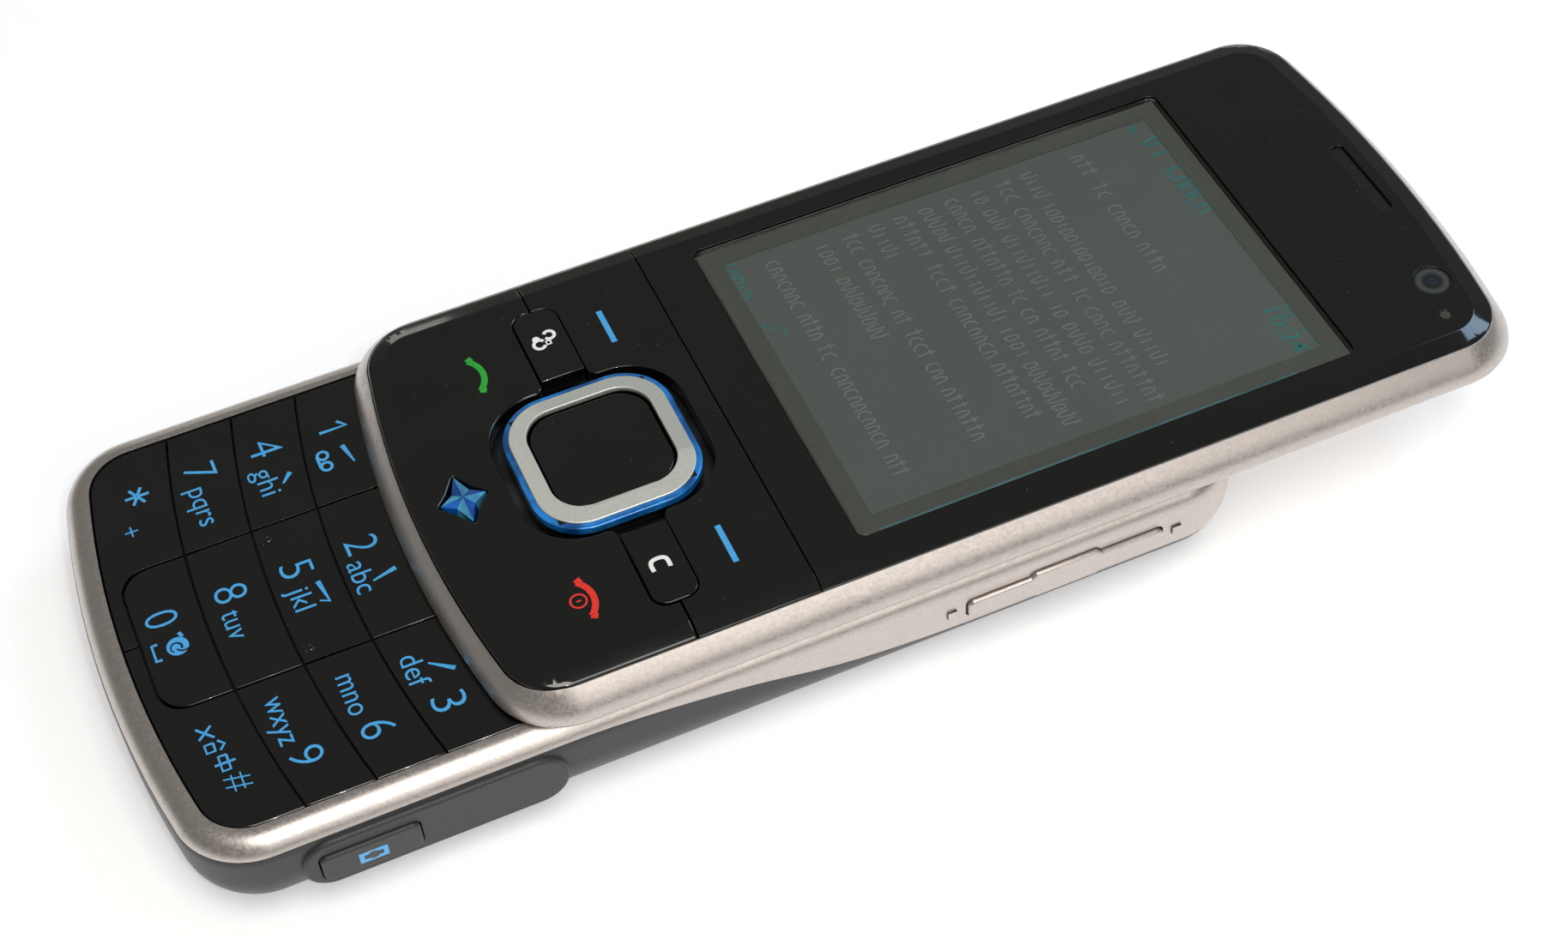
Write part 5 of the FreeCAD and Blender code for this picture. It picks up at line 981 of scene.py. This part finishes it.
class PHONE_OT_display(bpy.types.Operator):
    """Finish the window and the display, and draw the dim marks on the screen"""
    bl_idname = "phone.display"
    bl_label = "Display"

    def execute(self, context):
        rounded_stand_in("display_window", "window", "upper_half", 0.1 * MM)
        coat_node("display_module", "cell")
        self.window_border()
        self.screen_marks()
        return {"FINISHED"}

    def window_border(self):
        """The dark border that is printed on the back of the window, round the lit field, and
        a painted highlight along its right edge, a thin blue-green strip under the window."""
        inset, border, thick = 0.6 * MM, 1.9 * MM, 0.02 * MM
        # in mm, as the prints take them
        below, highlight_inset, highlight_width, highlight_foot, highlight_head = 0.01, 0.42, 0.2, 14.5, 56.0
        low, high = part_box("display_window")
        bpy.ops.object.select_all(action="DESELECT")
        bpy.ops.mesh.primitive_plane_add(size=1, location=(0, 0, 0))
        piece = bpy.context.object
        piece.name = "window_border_print"
        bpy.ops.object.mode_set(mode="EDIT")
        bpy.ops.transform.resize(value=(high.x - low.x - inset, high.y - low.y - inset, 1))
        bpy.ops.mesh.select_mode(type="FACE")
        bpy.ops.mesh.select_all(action="SELECT")
        bpy.ops.mesh.inset(thickness=border)
        bpy.ops.mesh.delete(type="FACE")
        bpy.ops.mesh.select_all(action="SELECT")
        bpy.ops.mesh.extrude_region_move(TRANSFORM_OT_translate={"value": (0, 0, -thick)})
        bpy.ops.mesh.select_all(action="SELECT")
        bpy.ops.mesh.normals_make_consistent(inside=False)
        bpy.ops.object.mode_set(mode="OBJECT")
        middle = (low + high) / 2 / MM
        settle(piece, (middle.x, middle.y, low.z / MM - below))
        wear(piece, "border", "upper_half")
        # painted highlight: a thin blue-green strip along the window's right edge
        x = high.x / MM - highlight_inset
        edge = print_stroke([(x, highlight_foot), (x, highlight_head)], low.z / MM, highlight_width)
        wear(named(edge, "window_edge_tint"), "edge_painted_highlight", "upper_half")

    def screen_marks(self):
        """Dim plain marks on the unlit screen: lines of copy, a title bar, clock and signs."""
        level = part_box("display_module")[1].z / MM
        copy_tall, copy_line, title_y, title_tall = 1.25, 0.17, 58.9, 1.9
        paths = []
        for line, (y, words) in enumerate(COPY_LINES):
            for word, (x0, x1) in enumerate(words):
                paths += self.dummy_word(x0, x1, y, copy_tall, line + 2 * word)
        copy = print_strokes(paths, level, copy_line, smooth=True)
        join_prints([copy], "screen_copy", "pale_ink", "upper_half")
        heads = self.dummy_word(-14.0, -10.6, title_y, title_tall, 1)
        heads += self.dummy_word(-9.4, -2.6, title_y, title_tall, 4)
        marks = [print_strokes(heads, level, 0.32, smooth=True),
                 print_stroke([(-16.3, 58.3), (-15.5, 57.7)], level, 0.3),
                 print_stroke([(-16.3, 57.7), (-15.5, 58.3)], level, 0.3),
                 print_strokes(self.dummy_word(-16.6, -11.4, 14.9, 1.4, 3), level, 0.26,
                               smooth=True),
                 print_stroke(boxed(10.8, 59.2, 12.3, 60.2), level, 0.25),
                 print_disc((14.2, 59.7), 0.5, level, 0.3),
                 print_stroke([(14.7, 59.7), (16.0, 59.7), (16.0, 59.2)], level, 0.25),
                 print_text("10:24", (10.6, 16.4), (57.0, 58.7), level, 0.004)]
        marks += [print_disc((-9.4 + 0.75 * i, 13.5 + 0.75 * i), 0.24, level) for i in range(5)]
        join_prints(marks, "screen_signs", "dim_ink", "upper_half")

    def dummy_word(self, x0, x1, y, tall, seed):
        """Strokes that stand for a word of plain copy: no real letters, only their rhythm."""
        wide = tall * 0.5
        pitch = wide * 1.55
        count = max(1, round((x1 - x0) / pitch))
        paths = []
        for i in range(count):
            left = x0 + (x1 - x0) * i / count
            form = LETTER_FORMS[(seed * 5 + i * 3 + i * i) % len(LETTER_FORMS)]
            paths += [[(left + wide * u, y + tall * v) for u, v in stroke] for stroke in form]
        return paths


class PHONE_OT_side_keys(bpy.types.Operator):
    """Finish the camera key and the volume rocker"""
    bl_idname = "phone.side_keys"
    bl_label = "Side keys"

    def execute(self, context):
        edge = context.scene.phone_sizes.face_edge
        rounded_stand_in("camera_key", "soft_touch", "camera_key", edge)
        self.camera_sign()
        rounded_stand_in("volume_rocker", "silver", "volume_rocker", edge)
        coat_node("side_key_strip", "inner")
        return {"FINISHED"}

    def camera_sign(self):
        """A small camera on the side key: a solid frame with a dark lens in its middle."""
        place = (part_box("camera_key")[1].x / MM, -35.2, 5.9)
        upright = Matrix(((0, 0, 1, 0), (1, 0, 0, 0), (0, 1, 0, 0), (0, 0, 0, 1)))
        frame_line = [(-1.05, -0.5), (1.05, -0.5), (1.05, 0.5), (-1.05, 0.5)]
        for piece, name, ink in (
                (print_stroke(frame_line, 0.0, 0.62, closed=True), "camera_sign", "blue_ink"),
                (print_disc((0, 0), 0.52, 0.0), "camera_sign_lens", "black_ink")):
            settle(piece, place, upright)
            wear(named(piece, name), ink, "camera_key")


class PHONE_OT_inner_parts(bpy.types.Operator):
    """Give every part inside the phone its own finish"""
    bl_idname = "phone.inner_parts"
    bl_label = "Inner parts"

    def execute(self, context):
        coats = {
            "steel": "fixed_rail_plate moving_slide_plate slide_screws case_screws card_holder",
            "spring": "slide_spring", "tin": "shield_can vibration_motor data_socket",
            "gilt": "battery_contacts antenna", "tungsten": "vibration_weight",
            "board": "main_board upper_board", "film": "key_dome_sheet upper_dome_sheet",
            "wrap": "battery", "mesh": "earpiece_mesh", "sensor": "light_sensor",
            "inner": "charger_socket headset_socket microphone loudspeaker earpiece",
            "front_lens": "front_camera", "rear_lens": "rear_camera",
            "window": "rear_camera_window flash_lamp",
        }
        for name, nodes in coats.items():
            for node in nodes.split():
                coat_node(node, name)
        self.ribbon()
        return {"FINISHED"}

    def ribbon(self):
        """The flex cable, as one merged copy in its coat that rides with no body; in the phone
        its lower run stays with the lower half and its upper run slides along.
        """
        piece = shell_copy("flex_cable", "flex_cable_ribbon")
        dress(piece, "flex")
        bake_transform(piece)
        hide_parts("flex_cable")


# mark and its key's name, left and right x, lower and upper y, in mm on the key caps
DIGITS = (
    ("2", (-3.17, -1.48), (-28.02, -25.04)),
    ("3", (16.09, 17.72), (-26.5, -23.46)),
    ("4", (-17.8, -15.9), (-32.57, -29.6)),
    ("5", (-3.02, -1.39), (-34.07, -31.13)),
    ("6", (16.13, 17.78), (-32.8, -29.78)),
    ("7", (-17.59, -15.85), (-38.74, -35.87)),
    ("8", (-3.02, -1.28), (-40.1, -37.17)),
    ("9", (16.13, 17.83), (-39.07, -36.13)),
    ("0", (-2.87, -1.22), (-46.39, -43.48)),
    ("#", (16.13, 17.87), (-44.65, -42.43)),
)
# letters of the keys from two to nine, left and right x, baseline
LETTERS = (
    ("abc", (-0.70, 2.93), -28.52),
    ("def", (10.93, 14.35), -27.54),
    ("ghi", (-14.52, -11.33), -32.98),
    ("jkl", (-0.1, 2.39), -34.07),
    ("mno", (10.5, 14.89), -33.09),
    ("pqrs", (-14.98, -10.41), -39.0),
    ("tuv", (-0.3, 2.87), -40.11),
    ("wxyz", (10.11, 15.26), -39.33),
)


class PHONE_OT_key_prints(bpy.types.Operator):
    """Print the digits, letters and small marks on the number keys"""
    bl_idname = "phone.key_prints"
    bl_label = "Key prints"

    def execute(self, context):
        marks = {"key_1": [print_stroke([(-17.08, -24.2), (-16.32, -23.5), (-16.32, -26.06)],
                                        KEY_TOP, 0.36)]}
        for text, xs, ys in DIGITS:
            key = "key_" + text.replace("#", "hash")
            marks[key] = [print_text(text, xs, ys, KEY_TOP)]
        for number, (text, xs, baseline) in enumerate(LETTERS, 2):
            marks["key_%d" % number].append(print_letters(text, xs, baseline, KEY_TOP))
        self.voicemail(marks["key_1"])
        self.accents(marks)
        self.last_row(marks)
        for key, pieces in marks.items():
            join_prints(pieces, key + "_print", "blue_ink", key)
        over = KEY_TOP + 0.012  # on the disc's ink
        swirl = [print_stroke(arc((1.5, -44.55), 0.5, 60, 330), over, 0.22, smooth=True,
                              taper=0.5),
                 print_stroke(arc((1.3, -43.9), 0.75, 300, 390), over, 0.18, smooth=True)]
        join_prints(swirl, "key_0_swirl", "black_ink", "key_0")
        return {"FINISHED"}

    def voicemail(self, pieces):
        """Two tape reels on a line."""
        reels = (-13.65, -12.3)
        pieces += [print_disc((x, -26.6), 0.62, KEY_TOP, 0.34) for x in reels]
        pieces.append(print_stroke([(x, -27.13) for x in reels], KEY_TOP))

    def accents(self, marks):
        """The short strokes that stand beside some letters."""
        lines = {
            "key_1": [(-14.1, -24.6), (-11.83, -24.1)],
            "key_2": [(1.4, -24.57), (1.96, -26.83)],
            "key_3": [(13.87, -23.35), (12.39, -25.33)],
            "key_4": [(-13.13, -29.87), (-12.09, -30.8)],
            "key_5": [(-0.1, -31.3), (2.4, -30.95), (2.0, -31.75)],
        }
        for key, points in lines.items():
            marks[key].append(print_stroke(points, KEY_TOP, 0.5, taper=0.35))

    def last_row(self, marks):
        """The star and plus, the space sign, the swirl disc and the three signs by the hash."""
        arms = [[(-16.4, -44.4), (-16.4, -42.2)], [(-17.32, -43.83), (-15.48, -42.77)],
                [(-17.32, -42.77), (-15.48, -43.83)]]
        marks["key_star"] = [print_strokes(arms, KEY_TOP, 0.3),
                             print_text("+", (-13.2, -12.0), (-45.4, -44.2), KEY_TOP)]
        marks["key_0"] += [
            print_stroke([(0.48, -45.98), (0.48, -46.5), (2.24, -46.5), (2.24, -45.98)], KEY_TOP),
            print_disc((1.4, -44.4), 0.98, KEY_TOP),
            print_stroke([(0.0, -43.95), (0.55, -43.75)], KEY_TOP, 0.36)]
        signs = (
            [(10.5, -45.4), (11.9, -44.1)], [(10.6, -44.1), (11.7, -45.4)],
            [(12.3, -44.0), (12.83, -43.5), (13.35, -44.0)],
            boxed(12.4, -44.4, 13.25, -45.15), boxed(13.95, -43.7, 15.5, -44.4),
            [(14.73, -43.1), (14.73, -44.9)],
        )
        marks["key_hash"] += [print_stroke(points, KEY_TOP, 0.24) for points in signs]


class PHONE_OT_face_prints(bpy.types.Operator):
    """Print the soft-key bars, the handsets, the menu loops and the clear letter"""
    bl_idname = "phone.face_prints"
    bl_label = "Face prints"

    def execute(self, context):
        bars = [print_stroke([(-15.75, 1.66), (-11.53, 1.66)], FACE_TOP, 0.56),
                print_stroke([(12.31, 1.8), (16.66, 1.8)], FACE_TOP, 0.56)]
        join_prints(bars, "soft_key_bars", "blue_ink", "soft_key_plate")
        join_prints(self.handset(-13.22), "call_print", "green_ink",
                    "call_end_plate")
        end = self.handset(14.76) + [
            print_disc((14.75, -12.0), 0.8, FACE_TOP, 0.62),
            print_stroke([(14.75, -11.75), (14.75, -12.2)], FACE_TOP, 0.16)]
        join_prints(end, "end_print", "red_ink", "call_end_plate")
        self.menu_loops()
        letter = [(14.7, -3.5), (13.9, -3.42), (13.45, -3.75), (13.45, -4.75), (13.9, -5.1),
                  (14.7, -5.02)]
        join_prints([print_stroke(letter, PILL_TOP, 0.42, smooth=True)], "clear_print",
                    "white_ink", "clear_key")
        return {"FINISHED"}

    def handset(self, x):
        """A lying telephone handset: an arched back with two ends."""
        back = print_stroke(arc((x, -13.2), 2.55, 138, 42), FACE_TOP, 0.62)
        ends = [print_stroke([(x + s * 1.75, -11.2), (x + s * 2.25, -11.42)], FACE_TOP, 0.66)
                for s in (-1, 1)]
        return [back] + ends

    def menu_loops(self):
        """Two linked loops with a small box between them."""
        loops = [print_stroke(arc((-14.95, -3.55), 0.5, -60, 240), PILL_TOP, 0.34),
                 print_stroke(arc((-14.15, -4.75), 0.55, 120, 420), PILL_TOP, 0.34),
                 print_disc((-14.85, -4.85), 0.36, PILL_TOP),
                 print_stroke(boxed(-14.3, -3.7, -13.85, -4.1), PILL_TOP, 0.2)]
        join_prints(loops, "menu_print", "white_ink", "menu_key")


class PHONE_PT_finisher(bpy.types.Panel):
    """Sizes, colours and steps of the phone's finish"""
    bl_idname = "PHONE_PT_finisher"
    bl_label = "Slider phone"
    bl_space_type = "VIEW_3D"
    bl_region_type = "UI"
    bl_category = "Phone"

    def draw(self, context):
        scene = context.scene
        for group in (scene.phone_sizes, scene.phone_colours, scene.phone_studio):
            box = self.layout.box()
            for name in group.__annotations__:
                box.prop(group, name)
        for step in STEPS:
            self.layout.operator(step.bl_idname)


STEPS = (
    PHONE_OT_studio, PHONE_OT_silver_shells, PHONE_OT_dark_shells, PHONE_OT_face,
    PHONE_OT_number_keys, PHONE_OT_navigation, PHONE_OT_small_keys, PHONE_OT_display,
    PHONE_OT_side_keys, PHONE_OT_inner_parts, PHONE_OT_key_prints, PHONE_OT_face_prints,
)
GROUPS = (("phone_sizes", PhoneSizes), ("phone_colours", PhoneColours),
          ("phone_studio", PhoneStudio))


def register():
    """Adds the groups, the steps and the panel to Blender."""
    for name, group in GROUPS:
        bpy.utils.register_class(group)
        setattr(bpy.types.Scene, name, PointerProperty(type=group))
    for step in STEPS:
        bpy.utils.register_class(step)
    bpy.utils.register_class(PHONE_PT_finisher)


def unregister():
    """Takes them out again."""
    bpy.utils.unregister_class(PHONE_PT_finisher)
    for step in reversed(STEPS):
        bpy.utils.unregister_class(step)
    for name, group in reversed(GROUPS):
        delattr(bpy.types.Scene, name)
        bpy.utils.unregister_class(group)


def main():
    """Dresses the phone step by step."""
    register()
    bpy.ops.phone.studio()
    bpy.ops.phone.silver_shells()
    bpy.ops.phone.dark_shells()
    bpy.ops.phone.face()
    bpy.ops.phone.number_keys()
    bpy.ops.phone.navigation()
    bpy.ops.phone.small_keys()
    bpy.ops.phone.display()
    bpy.ops.phone.side_keys()
    bpy.ops.phone.inner_parts()
    bpy.ops.phone.key_prints()
    bpy.ops.phone.face_prints()


if __name__ == "__main__":
    main()
